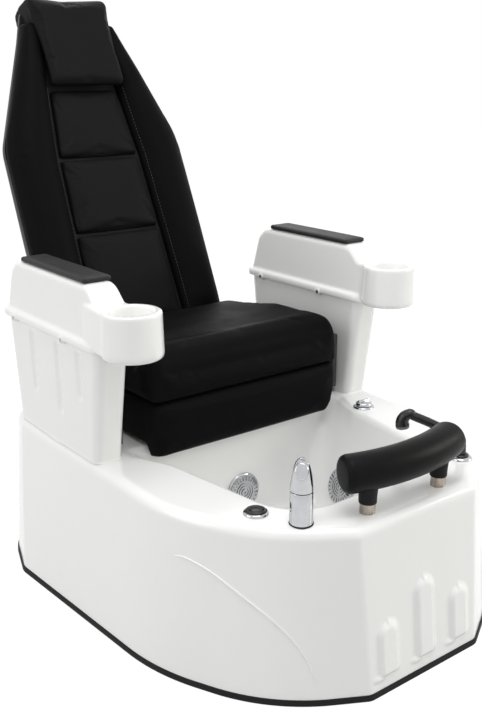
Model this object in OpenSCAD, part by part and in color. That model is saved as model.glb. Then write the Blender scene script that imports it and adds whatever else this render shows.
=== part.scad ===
// Pedicure spa chair: a moulded base with a foot basin, arm panels with cup holders,
// a sliding seat with a reclining back, a footrest, and water, air and drain fittings.
// X runs across the chair, Y from the front to the back and Z up, in millimetres.
// The origin is on the floor, at the middle of the overall width and length.

/* [Base] */
// Width of the base at the floor, across its rear shoulders
base_w = 934; // [920:1:942]
// Length of the base at the floor
base_l = 1122; // [1115:1:1130]
// Height of the deck round the basin
deck_h = 350; // [348:1:352]
// Wall thickness of the mouldings
wall = 6; // [5:0.5:7]
// Rounding of the deck's outer edge
deck_edge_r = 20; // [12:1:24]
// Height of the rubber kick strip
kick_h = 14; // [12:1:20]

/* [Basin] */
// Depth of the basin below the deck
basin_depth = 255; // [240:1:262]
// Rounding of the basin's rim
rim_r = 14; // [10:1:15]
// Diameter of the jet covers
jet_d = 95; // [80:1:100]
// Diameter of the drain bore
drain_d = 40; // [32:1:42]

/* [Arms] */
// Outer face of the arm panel, from the middle of the chair
arm_x = 405; // [400:1:408]
// Thickness of the arm panel at its top
arm_t = 80; // [74:1:84]
// Height of the seam between the arm panel and its cap
cap_seam_z = 602; // [598:1:606]
// Height of the arm cap's top face
arm_top_z = 732; // [728:1:736]
// Diameter of the cup holder
cup_d = 120; // [114:1:124]
// Diameter of the cup recess
cup_bore_d = 92; // [80:1:94]
// Depth of the cup recess
cup_depth = 56; // [40:1:60]

/* [Seat] */
// Width of the seat cushion
seat_w = 528; // [520:1:532]
// Height of the seam between the cushion and the apron
seat_seam_z = 462; // [461:1:463]
// Height of the cushion's crown
seat_top_z = 578; // [574:1:582]
// Height of the apron's lower edge
apron_low_z = 328; // [322:1:334]
// Fore and aft travel of the seat
seat_travel = 100; // [60:1:110]

/* [Back] */
// Lean of the back from the vertical, in degrees
back_lean = 24.3; // [23.8:0.1:24.6]
// Recline travel, in degrees
recline_deg = 20; // [12:1:22]
// Half-width of the back at its widest
back_half_w = 264; // [260:1:267]

/* [Footrest] */
// Diameter of the footrest roll
roll_d = 88; // [80:1:90]
// Distance between the two posts
post_pitch = 200; // [190:1:206]
// Diameter of the posts
post_d = 36; // [34:1:37]
// Height of the roll's centre above the deck
roll_rise = 84; // [82:1:90]

/* [Fittings] */
// Diameter of the mixer body
mixer_d = 45; // [40:1:48]
// Height of the mixer above the deck
mixer_h = 131; // [124:1:136]
// Diameter of the air button's bezel
bezel_d = 50; // [46:1:54]
// Travel of the air button
button_travel = 3; // [2:0.5:4]
// Diameter of the spray handle
spray_d = 20; // [18:1:21]

/* [Hidden] */
$fn = 48;

white = "whitesmoke";
black = "#222222";
steel = "silver";
grey = "dimgray";

gap = 0.4;               // seam between mouldings that butt together
kick_proud = 3;          // how far the kick strip stands out of the base
arc_steps = 6;           // segments in a rounded corner of a lofted outline

// ---------- outlines and lofts ----------

function unit(v) = v / norm(v);
function turned(v, a) = [v.x * cos(a) - v.y * sin(a), v.x * sin(a) + v.y * cos(a)];
function mix(a, b, t) = a + (b - a) * t;

// Both halves of an outline, from its right half given front to rear
function both_sides(half) =
    concat(half, [for (i = [len(half) - 1:-1:0]) [-half[i].x, half[i].y]]);
function both_radii(r) = concat(r, [for (i = [len(r) - 1:-1:0]) r[i]]);

// Moves every side of a counter-clockwise outline inwards by d
function inset(pts, d) = [
    for (i = [0:len(pts) - 1])
        let (
            n = len(pts), q = pts[i],
            e1 = unit(q - pts[(i + n - 1) % n]), e2 = unit(pts[(i + 1) % n] - q),
            n1 = [-e1.y, e1.x], n2 = [-e2.y, e2.x]
        )
        q + d * (n1 + n2) / (1 + n1 * n2)
];

// The arc that rounds corner q between p and s
function corner_arc(p, q, s, r) =
    let (
        a = unit(p - q), b = unit(s - q),
        half = acos(a * b) / 2,
        c = q + unit(a + b) * r / sin(half),
        v = q + a * r / tan(half) - c,
        turn = (cross(a, b) < 0 ? 1 : -1) * (180 - 2 * half)
    )
    [for (i = [0:arc_steps]) c + turned(v, turn * i / arc_steps)];

function rounded(pts, r) = [
    for (i = [0:len(pts) - 1])
        let (n = len(pts))
        for (p = corner_arc(pts[(i + n - 1) % n], pts[i], pts[(i + 1) % n], is_list(r) ? r[i] : r)) p
];

function at_z(pts, z) = [for (p = pts) [p.x, p.y, z]];
function slab(x0, x1, y0, y1) = [[x0, y0], [x1, y0], [x1, y1], [x0, y1]];

// A closed solid through rings of equal length, the first one lowest
module loft(rings) {
    n = len(rings[0]);
    m = len(rings);
    polyhedron(
        points = [for (r = rings) for (p = r) p],
        faces = concat(
            [[for (i = [0:n - 1]) i]],
            [for (k = [0:m - 2]) for (i = [0:n - 1])
                let (a = k * n + i, b = k * n + (i + 1) % n) [a, a + n, b + n]],
            [for (k = [0:m - 2]) for (i = [0:n - 1])
                let (a = k * n + i, b = k * n + (i + 1) % n) [a, b + n, b]],
            [[for (i = [n - 1:-1:0]) (m - 1) * n + i]]
        )
    );
}

module mirrored() {
    children();
    mirror([1, 0, 0]) children();
}

// Moves what is drawn with Y counted from the front of the base into the part's frame
module placed() {
    translate([0, kick_proud - overall_l / 2, 0]) children();
}

module ring(d_out, d_in, h) {
    difference() {
        cylinder(d = d_out, h = h);
        translate([0, 0, -1]) cylinder(d = d_in, h = h + 2);
    }
}

// A round rod from a to b
module rod(a, b, d) {
    v = b - a;
    translate(a)
        rotate([0, acos(v.z / norm(v)), atan2(v.y, v.x)])
            cylinder(d = d, h = norm(v));
}

// A path through points with its bends softened over a length r on both sides
function soft_path(pts, r) = concat(
    [pts[0]],
    [for (i = [1:len(pts) - 2]) for (t = [0:0.25:1])
        let (q = pts[i], a = q + r * unit(pts[i - 1] - q), b = q + r * unit(pts[i + 1] - q))
        (1 - t) * (1 - t) * a + 2 * t * (1 - t) * q + t * t * b],
    [pts[len(pts) - 1]]
);

// A tube swept through points, with a diameter at each one; across is square to every run
module swept(pts, dias, across, n = 16) {
    last = len(pts) - 1;
    loft([for (i = [0:last])
        let (
            w = unit(pts[min(last, i + 1)] - pts[max(0, i - 1)]),
            s = unit(cross(across, w)), q = cross(w, s)
        )
        [for (k = [0:n - 1]) pts[i] + dias[i] / 2 * (cos(360 * k / n) * s + sin(360 * k / n) * q)]]);
}
module pipe(pts, d, across = [0, 0, 1]) {
    path = soft_path(pts, 1.3 * d);
    swept(path, [for (p = path) d], across);
}

// ---------- base ----------
// Outline corners of the base as [half-width, distance behind the front]

base_floor = [for (p = [[152, 0], [324, 95], [434, 322], [467, 852], [427, 974], [300, 1122]])
    [p.x * base_w / 934, p.y * base_l / 1122]];
base_deck = [[165, 40], [305, 133], [400, 315], [408, 940], [385, 1010], [290, 1090]];
base_floor_r = [50, 380, 470, 60, 160, 100];
base_deck_r = [70, 370, 380, 80, 100, 80];

function base_ring(z, d) =
    let (
        t = z / deck_h,
        half = [for (i = [0:len(base_floor) - 1]) mix(base_floor[i], base_deck[i], t)],
        r = [for (i = [0:len(half) - 1]) max(4, mix(base_floor_r[i], base_deck_r[i], t) - d)]
    )
    at_z(rounded(inset(both_sides(half), d), both_radii(r)), z);

// Rings that round the deck's outer edge, d inside the outer face
function deck_edge(d) = [
    for (a = [0:22.5:90])
        base_ring(deck_h - deck_edge_r + (deck_edge_r - d) * sin(a),
                  d + (deck_edge_r - d) * (1 - cos(a)))
];

basin_floor_z = deck_h - basin_depth;
rim_out = rim_r + 4;      // from the basin's wall to the outer edge of its rim
rim_half = [[218, 158], [266, 500], [308, 590], [303, 613]];
shelf_half = [[208, 172], [252, 490], [266, 575], [238, 606]];
floor_half = [[178, 200], [196, 440], [204, 540], [150, 594]];
rim_radii = [110, 90, 12, 8];
shelf_radii = [105, 90, 45, 30];
floor_radii = [80, 80, 40, 40];

// The basin's inside at height z, moved outwards by d
function basin_ring(z, d) =
    let (
        shelf_z = deck_h - 60,
        t = z > shelf_z ? (z - shelf_z) / 60 : (z - basin_floor_z) / (shelf_z - basin_floor_z),
        lo = z > shelf_z ? shelf_half : floor_half, hi = z > shelf_z ? rim_half : shelf_half,
        rlo = z > shelf_z ? shelf_radii : floor_radii, rhi = z > shelf_z ? rim_radii : shelf_radii,
        half = [for (i = [0:3]) mix(lo[i], hi[i], t)],
        r = [for (i = [0:3]) mix(rlo[i], rhi[i], t) + (i == 1 ? -d : d)]
    )
    at_z(rounded(inset(both_sides(half), -d), both_radii(r)), z);

jet_z = 165;
jet_bore = 40;
side_jet_y = 480;
rear_jet_tilt = 3.5;
side_jet_tilt = 14.8;
side_jet_turn = 6.1;

// Draws its children in the frame of a jet: Z points into the basin from the wall
module at_rear_jet() {
    translate([0, 598, jet_z + 5]) rotate([90 - rear_jet_tilt, 0, 0]) children();
}
module at_side_jet() {
    translate([216.6, side_jet_y, jet_z]) rotate([0, 0, -side_jet_turn])
        rotate([0, -90 + side_jet_tilt, 0]) children();
}

rib_w = 44;
rib_low = 27;
ribs = [[-101, 160], [0, 214], [101, 160]];   // place across the front and height of the top
front_draft = atan(40 / deck_h);

// A bar with round ends, standing on the front wall
module front_rib(top_z) {
    len_up = top_z - rib_low - rib_w;
    translate([0, rib_low * tan(front_draft), rib_low])
        rotate([90 - front_draft, 0, 0])
            translate([0, rib_w / 2, -4])
                linear_extrude(9)
                    union() {
                        circle(d = rib_w);
                        translate([0, len_up]) circle(d = rib_w);
                        translate([-rib_w / 2, 0]) square([rib_w, len_up]);
                    }
}

// Line of the crease down each side, as [distance behind the front, height]
crease = [[304, 260], [274, 263], [225, 248], [175, 218], [130, 182], [96, 142], [72, 96], [57, 46]];
crease_w = 6;
crease_proud = 3;

// The crease's outline on one side of its line, half its width away
function crease_edge(side) = [
    for (i = [0:len(crease) - 1])
        let (along = unit(crease[min(len(crease) - 1, i + 1)] - crease[max(0, i - 1)]))
        crease[i] + side * crease_w / 2 * [-along.y, along.x]
];

// A raised band that follows the crease, as far out as crease_proud
module side_crease() intersection() {
    loft([base_ring(kick_h + 4, -crease_proud), base_ring(deck_h - deck_edge_r, -crease_proud)]);
    mirrored() rotate([90, 0, 90]) linear_extrude(base_w / 2 + 10)
        polygon(concat(crease_edge(1), [for (i = [len(crease) - 1:-1:0]) crease_edge(-1)[i]]));
}

button_at = [-271, 208];
mixer_at = [-229, 126];
knob_at = [304, 500];
spray_at = [244, 143];
post_y = 83;
panel_y = base_l - 12;
panel_tilt = atan(32 / deck_h);

// The shelf that carries the rear access panel, seen from the panel's own frame
module at_access_panel(y = base_l) {
    translate([0, y, 0]) rotate([90 + panel_tilt, 0, 0]) mirror([0, 0, 1]) children();
}

module base_shell() placed() color(white) difference() {
    union() {
        loft(concat([base_ring(8, 0), base_ring(kick_h, 0)], deck_edge(0)));
        for (r = ribs) translate([r.x, 0, 0]) front_rib(r.y);
        side_crease();
    }
    loft(concat([base_ring(-5, wall), base_ring(kick_h, wall)], deck_edge(wall)));
    loft([basin_ring(deck_h - wall - 1, rim_out + gap), basin_ring(deck_h + 1, rim_out + gap)]);
    translate([0, 0, deck_h - 30]) {
        for (s = [-1, 1]) translate([s * post_pitch / 2, post_y, 0]) cylinder(d = 38, h = 60);
        translate([button_at.x, button_at.y, 0]) cylinder(d = 30, h = 60);
        translate([mixer_at.x, mixer_at.y, 0]) cylinder(d = 32, h = 60);
        translate([knob_at.x, knob_at.y, 0]) cylinder(d = 22, h = 60);
        translate([spray_at.x, spray_at.y, 0]) cylinder(d = 34, h = 60);
    }
    at_access_panel() translate([-130, 70, -40]) cube([260, 150, 80]);
}

// One skin, up the outside to the deck, over the rim and down the inside to the floor
module foot_basin() placed() color(white) difference() {
    lap = 26;            // how far the flange under the deck reaches from the basin's wall
    loft(concat(
        [basin_ring(basin_floor_z - wall, -8), basin_ring(basin_floor_z + 26, wall - 1),
         basin_ring(deck_h - 60, wall - 1), basin_ring(deck_h - 16, wall),
         basin_ring(deck_h - 12, lap), basin_ring(deck_h - wall - gap, lap),
         basin_ring(deck_h - wall - gap, rim_out), basin_ring(deck_h, rim_out)],
        [for (a = [90:-22.5:0]) basin_ring(deck_h - rim_r + rim_r * sin(a), rim_r * (1 - cos(a)))],
        [basin_ring(deck_h - 60, 0)],
        [for (a = [90:-30:0]) basin_ring(basin_floor_z + 30 * (1 - cos(a)), -30 * (1 - sin(a)))]
    ));
    translate([0, 380, basin_floor_z - 20]) cylinder(d = 54, h = 40);
    at_rear_jet() translate([0, 0, -30]) cylinder(d = jet_bore, h = 60);
    mirrored() at_side_jet() translate([0, 0, -30]) cylinder(d = jet_bore, h = 60);
}

module kick_strip() placed() color(black) difference() {
    loft([base_ring(0, -1), base_ring(2, -kick_proud), base_ring(kick_h - 3, -kick_proud),
          base_ring(kick_h, -0.5)]);
    loft([base_ring(-1, wall + 4), base_ring(kick_h + 1, wall + 4)]);
    difference() {
        loft([base_ring(7.7, -0.35), base_ring(kick_h + 1, -0.35)]);
        loft([base_ring(7, wall + 0.2), base_ring(kick_h + 2, wall + 0.2)]);
    }
}

// ---------- frame inside the base ----------

tube = 30;
frame_x = 225;
frame_ys = [100, 660, 1060];
foot_h = 12;

module square_tube(a, size) {
    translate(a) difference() {
        cube(size);
        inner = [for (s = size) s > tube ? s + 2 : s - 4];
        translate([for (i = [0:2]) size[i] > tube ? -1 : 2]) cube(inner);
    }
}

module base_frame() placed() color(grey) {
    for (s = [-1, 1]) {
        square_tube([s * frame_x - tube / 2, frame_ys[0], foot_h], [tube, frame_ys[2] - frame_ys[0], tube]);
        for (y = [frame_ys[1] + 70, frame_ys[2] - tube])
            square_tube([s * frame_x - tube / 2, y, foot_h + tube],
                        [tube, tube, deck_h - wall - foot_h - tube]);
    }
    for (y = [frame_ys[0], frame_ys[1] - tube, frame_ys[2] - tube])
        square_tube([-frame_x + tube / 2, y, foot_h], [2 * frame_x - tube, tube, tube]);
    translate([-frame_x + tube / 2, 790, foot_h + tube - 3]) cube([2 * frame_x - tube, 120, 3]);
}

module levelling_feet() placed() color(black)
    for (s = [-1, 1], y = [frame_ys[0] + 20, frame_ys[1], frame_ys[2] - 20])
        translate([s * frame_x, y, 0]) rotate_extrude()
            polygon([[0, 0], [20, 0], [20, 4], [14, 9], [14, foot_h], [0, foot_h]]);

module access_panel() placed() color(white) at_access_panel() difference() {
    translate([0, 0, 0.3]) linear_extrude(4) polygon(rounded(slab(-150, 150, 50, 240), 14));
    for (i = [0:6]) translate([-90, 108 + i * 12, -1])
        linear_extrude(10) polygon(rounded(slab(0, 180, 0, 5), 2.4));
    for (s = [-1, 1], z = [62, 228]) translate([s * 138, z, -1]) cylinder(d = 5, h = 10);
}

module jet_pump() placed() color(grey) translate([-70, 850, 120]) {
    rotate([0, 90, 0]) rotate_extrude() polygon([
        [0, 0], [58, 0], [58, 40], [48, 44], [48, 50], [54, 54], [54, 190], [44, 200], [0, 200]]);
    translate([40, 0, -78]) linear_extrude(24) polygon(rounded(slab(0, 140, -50, 50), 8));
    translate([12, -32, 20]) cylinder(d = 30, h = 60);
}

feed_x = -58;
manifold_y = 706;

module pipework() placed() color(white) {
    rod([-70, manifold_y, jet_z], [70, manifold_y, jet_z], 48);
    rod([0, manifold_y - 16, jet_z], [0, 646, jet_z], 32);
    pipe([[feed_x, 818, 200.4], [feed_x, 818, 235], [feed_x, manifold_y, 235], [feed_x, manifold_y, 175]],
         26, [1, 0, 0]);
    mirrored() pipe([[62, manifold_y, jet_z - 10], [300, 690, jet_z - 14], [300, 475, jet_z - 14],
                     [264.8, 475, jet_z - 12]], 24);
    translate([0, 380, 36]) cylinder(d = 60, h = basin_floor_z - 30.5 - 36);
    pipe([[27, 380, 57], [110, 380, 57], [165, 470, 57], [165, 1020, 57]], 28);
}

module control_box() placed() color(grey) difference() {
    translate([60, 985, 140]) linear_extrude(110) polygon(rounded(slab(0, 149.8, 0, 70), 8));
    translate([68, 993, 150]) cube([134, 80, 90]);
}

// ---------- seat support ----------

rail_x = 190;
rail_w = 30;
rail_z = 408;
rail_h = 14;
pan_z = 440;

module seat_pedestal() placed() color(grey) {
    mirrored() difference() {
        translate([rail_x - 18, 640, deck_h]) cube([36, 330, rail_z - deck_h]);
        translate([rail_x - 12, 639, deck_h + 6]) cube([40, 332, rail_z - deck_h - 12]);
        for (y = [700, 800, 900]) translate([rail_x - 30, y, deck_h + 29])
            rotate([0, 90, 0]) cylinder(d = 28, h = 30);
    }
    for (y = [650, 930]) translate([-rail_x + 18, y, deck_h]) cube([2 * rail_x - 36, 40, 8]);
}

module slide_rails() placed() color(steel) mirrored() difference() {
    translate([rail_x - rail_w / 2, 600, rail_z]) cube([rail_w, 270 + seat_travel, rail_h]);
    translate([rail_x - 9, 599, rail_z + 4]) cube([18, 272 + seat_travel, rail_h]);
}

module slide_carriage() placed() color(steel) {
    mirrored() difference() {
        translate([rail_x - 20, 700, rail_z + 3]) cube([40, 262, pan_z - rail_z - 3]);
        translate([rail_x - rail_w / 2 - 0.6, 699, rail_z]) cube([rail_w + 1.2, 264, rail_h + 0.6]);
    }
    for (y = [705, 915]) translate([-rail_x + 20, y, pan_z - 10]) cube([2 * rail_x - 40, 46, 10]);
    for (s = [-1, 1]) difference() {
        translate([s * 24 - 4, 712, 362]) cube([8, 30, pan_z - 372]);
        translate([s * 24 - 5, 727, 380]) rotate([0, 90, 0]) cylinder(d = 10.1, h = 10);
    }
}

module side_brackets() placed() color(grey) mirrored() {
    translate([arm_x - arm_t - 3, 625, 366]) cube([4, 40, 140]);
    translate([arm_x - arm_t - 12, 625, 366]) cube([10, 4, 140]);
}

module seat_pan() placed() color(grey) difference() {
    translate([0, 0, pan_z]) linear_extrude(seat_seam_z - pan_z - 0.5)
        polygon(rounded(slab(-240, 240, 582, 985), 30));
    translate([0, 0, pan_z - 1]) linear_extrude(14)
        polygon(rounded(slab(-160, 160, 640, 900), 20));
}

// ---------- arms ----------

arm_in = arm_x - arm_t;
arm_draft = atan(5 / (cap_seam_z + 16 - deck_h));
flute_w = 24;
flutes = [[642, 482], [737, 425], [858, 443]];     // distance behind the front, height of the foot
arm_front = 550;
arm_rear = 990;

module arm_panel() color(white) difference() {
    low = slab(arm_in + 7, arm_x - 5, 590, 960);
    top = slab(arm_in, arm_x, arm_front + 4, arm_rear - 4);
    loft([at_z(rounded(low, 20), deck_h), at_z(rounded(top, 24), cap_seam_z + 16)]);
    loft([at_z(rounded(inset(low, wall), 14), deck_h - 1),
          at_z(rounded(inset(top, wall), 18), cap_seam_z + 17)]);
    for (f = flutes) translate([0, f.x, cap_seam_z - 16])
        rotate([0, arm_draft, 0]) translate([arm_x - 3, 0, 0]) rotate([180, 90, 0]) {
            cylinder(d = flute_w, h = 12);
            translate([0, -flute_w / 2, 0]) cube([cap_seam_z - 16 - f.y, flute_w, 12]);
            translate([cap_seam_z - 16 - f.y, 0, 0]) cylinder(d = flute_w, h = 12);
        }
    for (y = screw_ys) translate([arm_in - 10, y, cap_seam_z + 4]) rotate([0, 90, 0])
        cylinder(d = 5, h = arm_t + 20);
}

// Side view of the arm cap as [distance behind the front, height]
cap_profile = [
    [arm_rear - 1, cap_seam_z + 1], [arm_rear - 7, cap_seam_z + 20], [arm_rear - 32, arm_top_z - 26],
    [arm_rear - 60, arm_top_z], [arm_front + 58, arm_top_z], [arm_front + 18, arm_top_z - 30],
    [arm_front - 6, arm_top_z - 30], [arm_front, cap_seam_z + 1]];
cap_radii = [3, 14, 30, 26, 30, 22, 3, 3];
screw_ys = [693, 926];
cap_hollow = 5;          // the corner that is hollow, where the cap steps down to the cup
cap_edge = 14;
cup_y = 490;
cup_x = arm_in + 35;
cup_top = arm_top_z - 30;
cup_low = cap_seam_z + 5;

// The cap's side view at t across the arm, pulled in by d; both sides lean inwards
function cap_ring(t, d) =
    let (r = [for (i = [0:7]) i == cap_hollow ? cap_radii[i] : max(1, cap_radii[i] - d)])
    [for (p = rounded(inset(cap_profile, d), r))
        [mix(arm_in, arm_x, t) + mix(5, -4, t) * (p.y - cap_seam_z) / 130, p.x, p.y]];

// The cap's block with its long edges rounded
module cap_body() {
    side = [for (a = [0:22.5:90]) [cap_edge * (1 - cos(a)) / arm_t, cap_edge * (1 - sin(a))]];
    loft(concat(
        [for (k = side) cap_ring(k.x, k.y)],
        [for (i = [len(side) - 1:-1:0]) cap_ring(1 - side[i].x, side[i].y)]
    ));
}

module arm_cap_solid() {
    cap_body();
    translate([0, 0, cap_seam_z]) linear_extrude(20)
        polygon(rounded(slab(arm_in - 9, arm_x + 9, arm_front - 4, arm_rear + 7), 26));
    translate([arm_in + 1.5, cup_y, cup_low + 1])
        cube([arm_t - 6, arm_front + 12 - cup_y, cup_top - cup_low - 2]);
    translate([cup_x, cup_y, 0]) rotate_extrude($fn = 96)
        polygon([[0, cup_low], [cup_d / 2 + 1, cup_low], [cup_d / 2 + 3, cup_low + 3],
                 [cup_d / 2, cup_top - 3], [cup_d / 2 - 4, cup_top + 1], [0, cup_top + 1]]);
    for (y = screw_ys) translate([arm_in - 11, y, cap_seam_z + 4])
        rotate([0, 90, 0]) cylinder(d = 16, h = arm_t + 22);
}

module arm_cap_hollow() {
    translate([0, 0, cap_seam_z - 12]) linear_extrude(28)
        polygon(rounded(slab(arm_in - 3, arm_x + 3, arm_front + 3, arm_rear + 1), 22));
    translate([0, 0, cap_seam_z]) linear_extrude(arm_top_z - cap_seam_z - 16)
        polygon(rounded(slab(arm_in + 11, arm_x - 10, arm_front + 26, arm_rear - 48), 12));
    translate([cup_x, cup_y, 0]) rotate_extrude($fn = 96)
        polygon([[0, cup_top - cup_depth], [cup_bore_d / 2 - 8, cup_top - cup_depth],
                 [cup_bore_d / 2 - 1, cup_top - cup_depth + 7], [cup_bore_d / 2, cup_top - 3],
                 [cup_bore_d / 2 + 4, cup_top + 2], [0, cup_top + 2]]);
    translate([cup_x, cup_y, cup_low - 1]) cylinder(d = cup_d - 8, h = cup_top - cup_depth - cup_low - 4);
    for (y = screw_ys) translate([arm_in - 12, y, cap_seam_z + 4]) rotate([0, 90, 0]) {
        cylinder(d = 5, h = arm_t + 24);
        cylinder(d = 10.5, h = 3);
        translate([0, 0, arm_t + 21]) cylinder(d = 10.5, h = 4);
    }
}

module arm_cap() color(white) difference() {
    arm_cap_solid();
    arm_cap_hollow();
}

module arm_pad() color(black) loft([
    for (k = [[0, 3], [2, 0], [9, 0], [12, 2.5], [13, 7]])
        at_z(rounded(inset(slab(arm_in + 6, arm_x - 7, 616, 904), k.y), 16 - k.y), arm_top_z + 0.2 + k.x)]);

module arm_cap_screws() placed() color(steel)
    for (s = [0, 1]) mirror([s, 0, 0]) for (y = screw_ys, side = [0, 1])
        translate([side == 0 ? arm_x + 11.5 : arm_in - 11.5, y, cap_seam_z + 4])
            rotate([0, side == 0 ? -90 : 90, 0]) {
                cylinder(d = 10, h = 2.4);
                cylinder(d = 4.8, h = 16);
            }

// ---------- cushions of the seat ----------

// Side view of the cushion at x across the seat, pulled in by d at its sides
function seat_ring(x, d) =
    let (
        low = seat_seam_z + 0.5, rear = 982, back_z = seat_top_z - 45,
        pts = rounded([
            [559 + d, low], [rear - d, low], [rear + (back_z - low) * tan(back_lean) - d, back_z - d],
            [740, seat_top_z - d], [559 + d, seat_top_z - d]
        ], [8, 8, 22, 240, 40])
    )
    [for (p = pts) [x, p.x, p.y]];

module seat_cushion() placed() color(black) {
    edge = 36;
    side = [for (a = [0:22.5:90]) [seat_w / 2 - edge * (1 - cos(a)), 3 + edge * (1 - sin(a))]];
    loft(concat(
        [for (k = side) seat_ring(-k.x, k.y)],
        [seat_ring(-110, 0.5), seat_ring(110, 0.5)],
        [for (i = [len(side) - 1:-1:0]) seat_ring(side[i].x, side[i].y)]
    ));
}

module seat_apron() placed() color(black) difference() {
    loft([for (k = [[apron_low_z, 17, 8], [apron_low_z + 6, 13, 4], [apron_low_z + 30, 9, 1],
                    [seat_seam_z - 20, 1, 0], [seat_seam_z - 1, 3, 0]])
        at_z(rounded(slab(-seat_w / 2 + k.y, seat_w / 2 - k.y, 559 + k.y + k.z, 985), 50), k.x)]);
    translate([0, 0, apron_low_z - 1]) linear_extrude(200)
        polygon(rounded(slab(-243, 243, 580, 1100), 28));
    translate([-400, 606, apron_low_z - 10]) cube([800, 500, deck_h + 8 - apron_low_z + 10]);
}

// ---------- recline mechanism ----------

pivot = [1045, 450];          // distance behind the front and height of the recline axis
pin_d = 12;
lever_r = 70;
rod_z = pivot.y - lever_r * cos(recline_deg / 2);
rod_y = pivot.x + lever_r * sin(recline_deg / 2);

module recline_brackets() placed() color(steel) mirrored() difference() {
    union() {
        translate([224, 0, 0]) rotate([90, 0, 90]) linear_extrude(6)
            polygon(rounded([[935, pan_z - 12], [pivot.x + 8, pivot.y - 22], [pivot.x + 22, pivot.y],
                             [pivot.x, pivot.y + 24], [pivot.x - 22, pan_z + 20], [992, pan_z - gap],
                             [935, pan_z - gap]], [2, 10, 12, 12, 6, 4, 2]));
        translate([210.2, 900, pan_z - 16]) cube([19.8, 60, 15.5]);
    }
    translate([200, pivot.x, pivot.y]) rotate([0, 90, 0]) cylinder(d = pin_d, h = 60);
}

module recline_actuator() placed() color(black) {
    difference() {
        union() {
            rod([0, 738, rod_z], [0, 940, rod_z], 38);
            translate([-14, 714, rod_z - 13]) cube([28, 40, 26]);
            translate([-22, 765, rod_z + 4]) cube([44, 60, 26]);
        }
        translate([-20, 727, 380]) rotate([0, 90, 0]) cylinder(d = 10.1, h = 40);
        rod([0, 850, rod_z], [0, 941, rod_z], 16.1);
    }
    rod([-27.5, 727, 380], [27.5, 727, 380], 10);
}

module actuator_rod() placed() color(steel) {
    rod([0, 885, rod_z], [0, rod_y - 14, rod_z], 16);
    translate([-9, rod_y - 16, rod_z - 9]) cube([18, 26, 18]);
    translate([-17, rod_y, rod_z]) rotate([0, 90, 0]) cylinder(d = 10, h = 34);
}

// Draws in the frame of the back: Z runs up the back and Y into it from its front face
back_origin = [1012, 470];
module on_back() {
    translate([0, back_origin.x, back_origin.y]) rotate([-back_lean, 0, 0]) children();
}

module recline_arms() placed() color(steel) {
    mirrored() difference() {
        union() {
            on_back() translate([216, 0, 0]) rotate([90, 0, 90]) linear_extrude(6)
                polygon(rounded([[24, -16], [52, -18], [66, 10], [66, 92], [53, 92], [53, 26], [40, 14],
                                 [24, 4]], [10, 10, 12, 3, 3, 3, 3, 8]));
            on_back() translate([196, board_n + 16.2, 30]) cube([26, 6, 220]);
        }
        translate([200, pivot.x, pivot.y]) rotate([0, 90, 0]) cylinder(d = pin_d + 0.04, h = 60);
    }
    difference() {
        rod([-216, pivot.x, pivot.y], [216, pivot.x, pivot.y], 22);
        for (s = [-1, 1]) translate([s * 209 - 8, pivot.x, pivot.y]) rotate([0, 90, 0])
            cylinder(d = pin_d + 0.04, h = 16);
    }
    for (s = [-1, 1]) difference() {
        translate([s * 14 - 4, pivot.x, pivot.y]) rotate([recline_deg / 2, 0, 0])
            translate([0, -13, -lever_r - 14]) cube([8, 26, lever_r + 14]);
        translate([s * 14 - 5, pivot.x, pivot.y]) rotate([recline_deg / 2, 0, 0]) hull() {
            translate([0, 0, -lever_r + 1.6]) rotate([0, 90, 0]) cylinder(d = 10.3, h = 10, $fn = 32);
            translate([0, 0, -lever_r - 0.4]) rotate([0, 90, 0]) cylinder(d = 10.3, h = 10, $fn = 32);
        }
    }
}

module hinge_pins() placed() color(steel) mirrored()
    translate([202, pivot.x, pivot.y]) rotate([0, 90, 0]) {
        cylinder(d = pin_d - 0.1, h = 32);
        translate([0, 0, 28.5]) cylinder(d = 20, h = 4);
    }

// ---------- back ----------
// Half-widths up the back as [height along the back, half-width]

back_outline = [[262, 16], [back_half_w, 300], [262, 548], [148, 842], [118, 930]];
panel_half = [[70, 133], [294, 128], [300, 127], [500, 121], [518, 119], [691, 101], [880, 84]];
panel_front = 0;
board_n = 36;

function half_at(table, u, i = 0) =
    i > len(table) - 2 ? table[len(table) - 1].y :
    u <= table[i + 1].x ?
        mix(table[i].y, table[i + 1].y, (u - table[i].x) / (table[i + 1].x - table[i].x)) :
    half_at(table, u, i + 1);
outer_half = [for (p = back_outline) [p.y, p.x]];
board_outline = concat([for (i = [0:3]) back_outline[i]], [[134, 884]]);

module back_board() placed() color("burlywood") on_back() translate([0, board_n + 16, 0])
    rotate([90, 0, 0]) linear_extrude(15.5)
        polygon(rounded(inset(both_sides(board_outline), 14), both_radii([10, 80, 60, 40, 12])));

// Depth of the shell behind the front plane, less towards the top
function shell_deep(u) = 96 - 0.04 * u;

// A ring of the shell: t from the board to the rear, pulled in by d
function shell_ring(t, d, r, less = 0) =
    [for (p = rounded(inset(both_sides(back_outline), d), both_radii(r)))
        [p.x, mix(52.5, shell_deep(p.y) - less, t), p.y]];

module back_shell() placed() color(black) on_back() difference() {
    loft([for (k = [[1, 62], [0.9, 34], [0.68, 14], [0.35, 3], [0, 4]])
        shell_ring(k.x, k.y, [22, 70, 60, 40, 18])]);
    loft([for (k = [[1, 66], [0.9, 44], [0.6, 24], [0.3, 12], [-0.05, 12]])
        shell_ring(k.x, k.y, [20, 66, 56, 30, 12], 5)]);
    translate([-225, 50, 0]) cube([450, 30, 50]);
}

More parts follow.
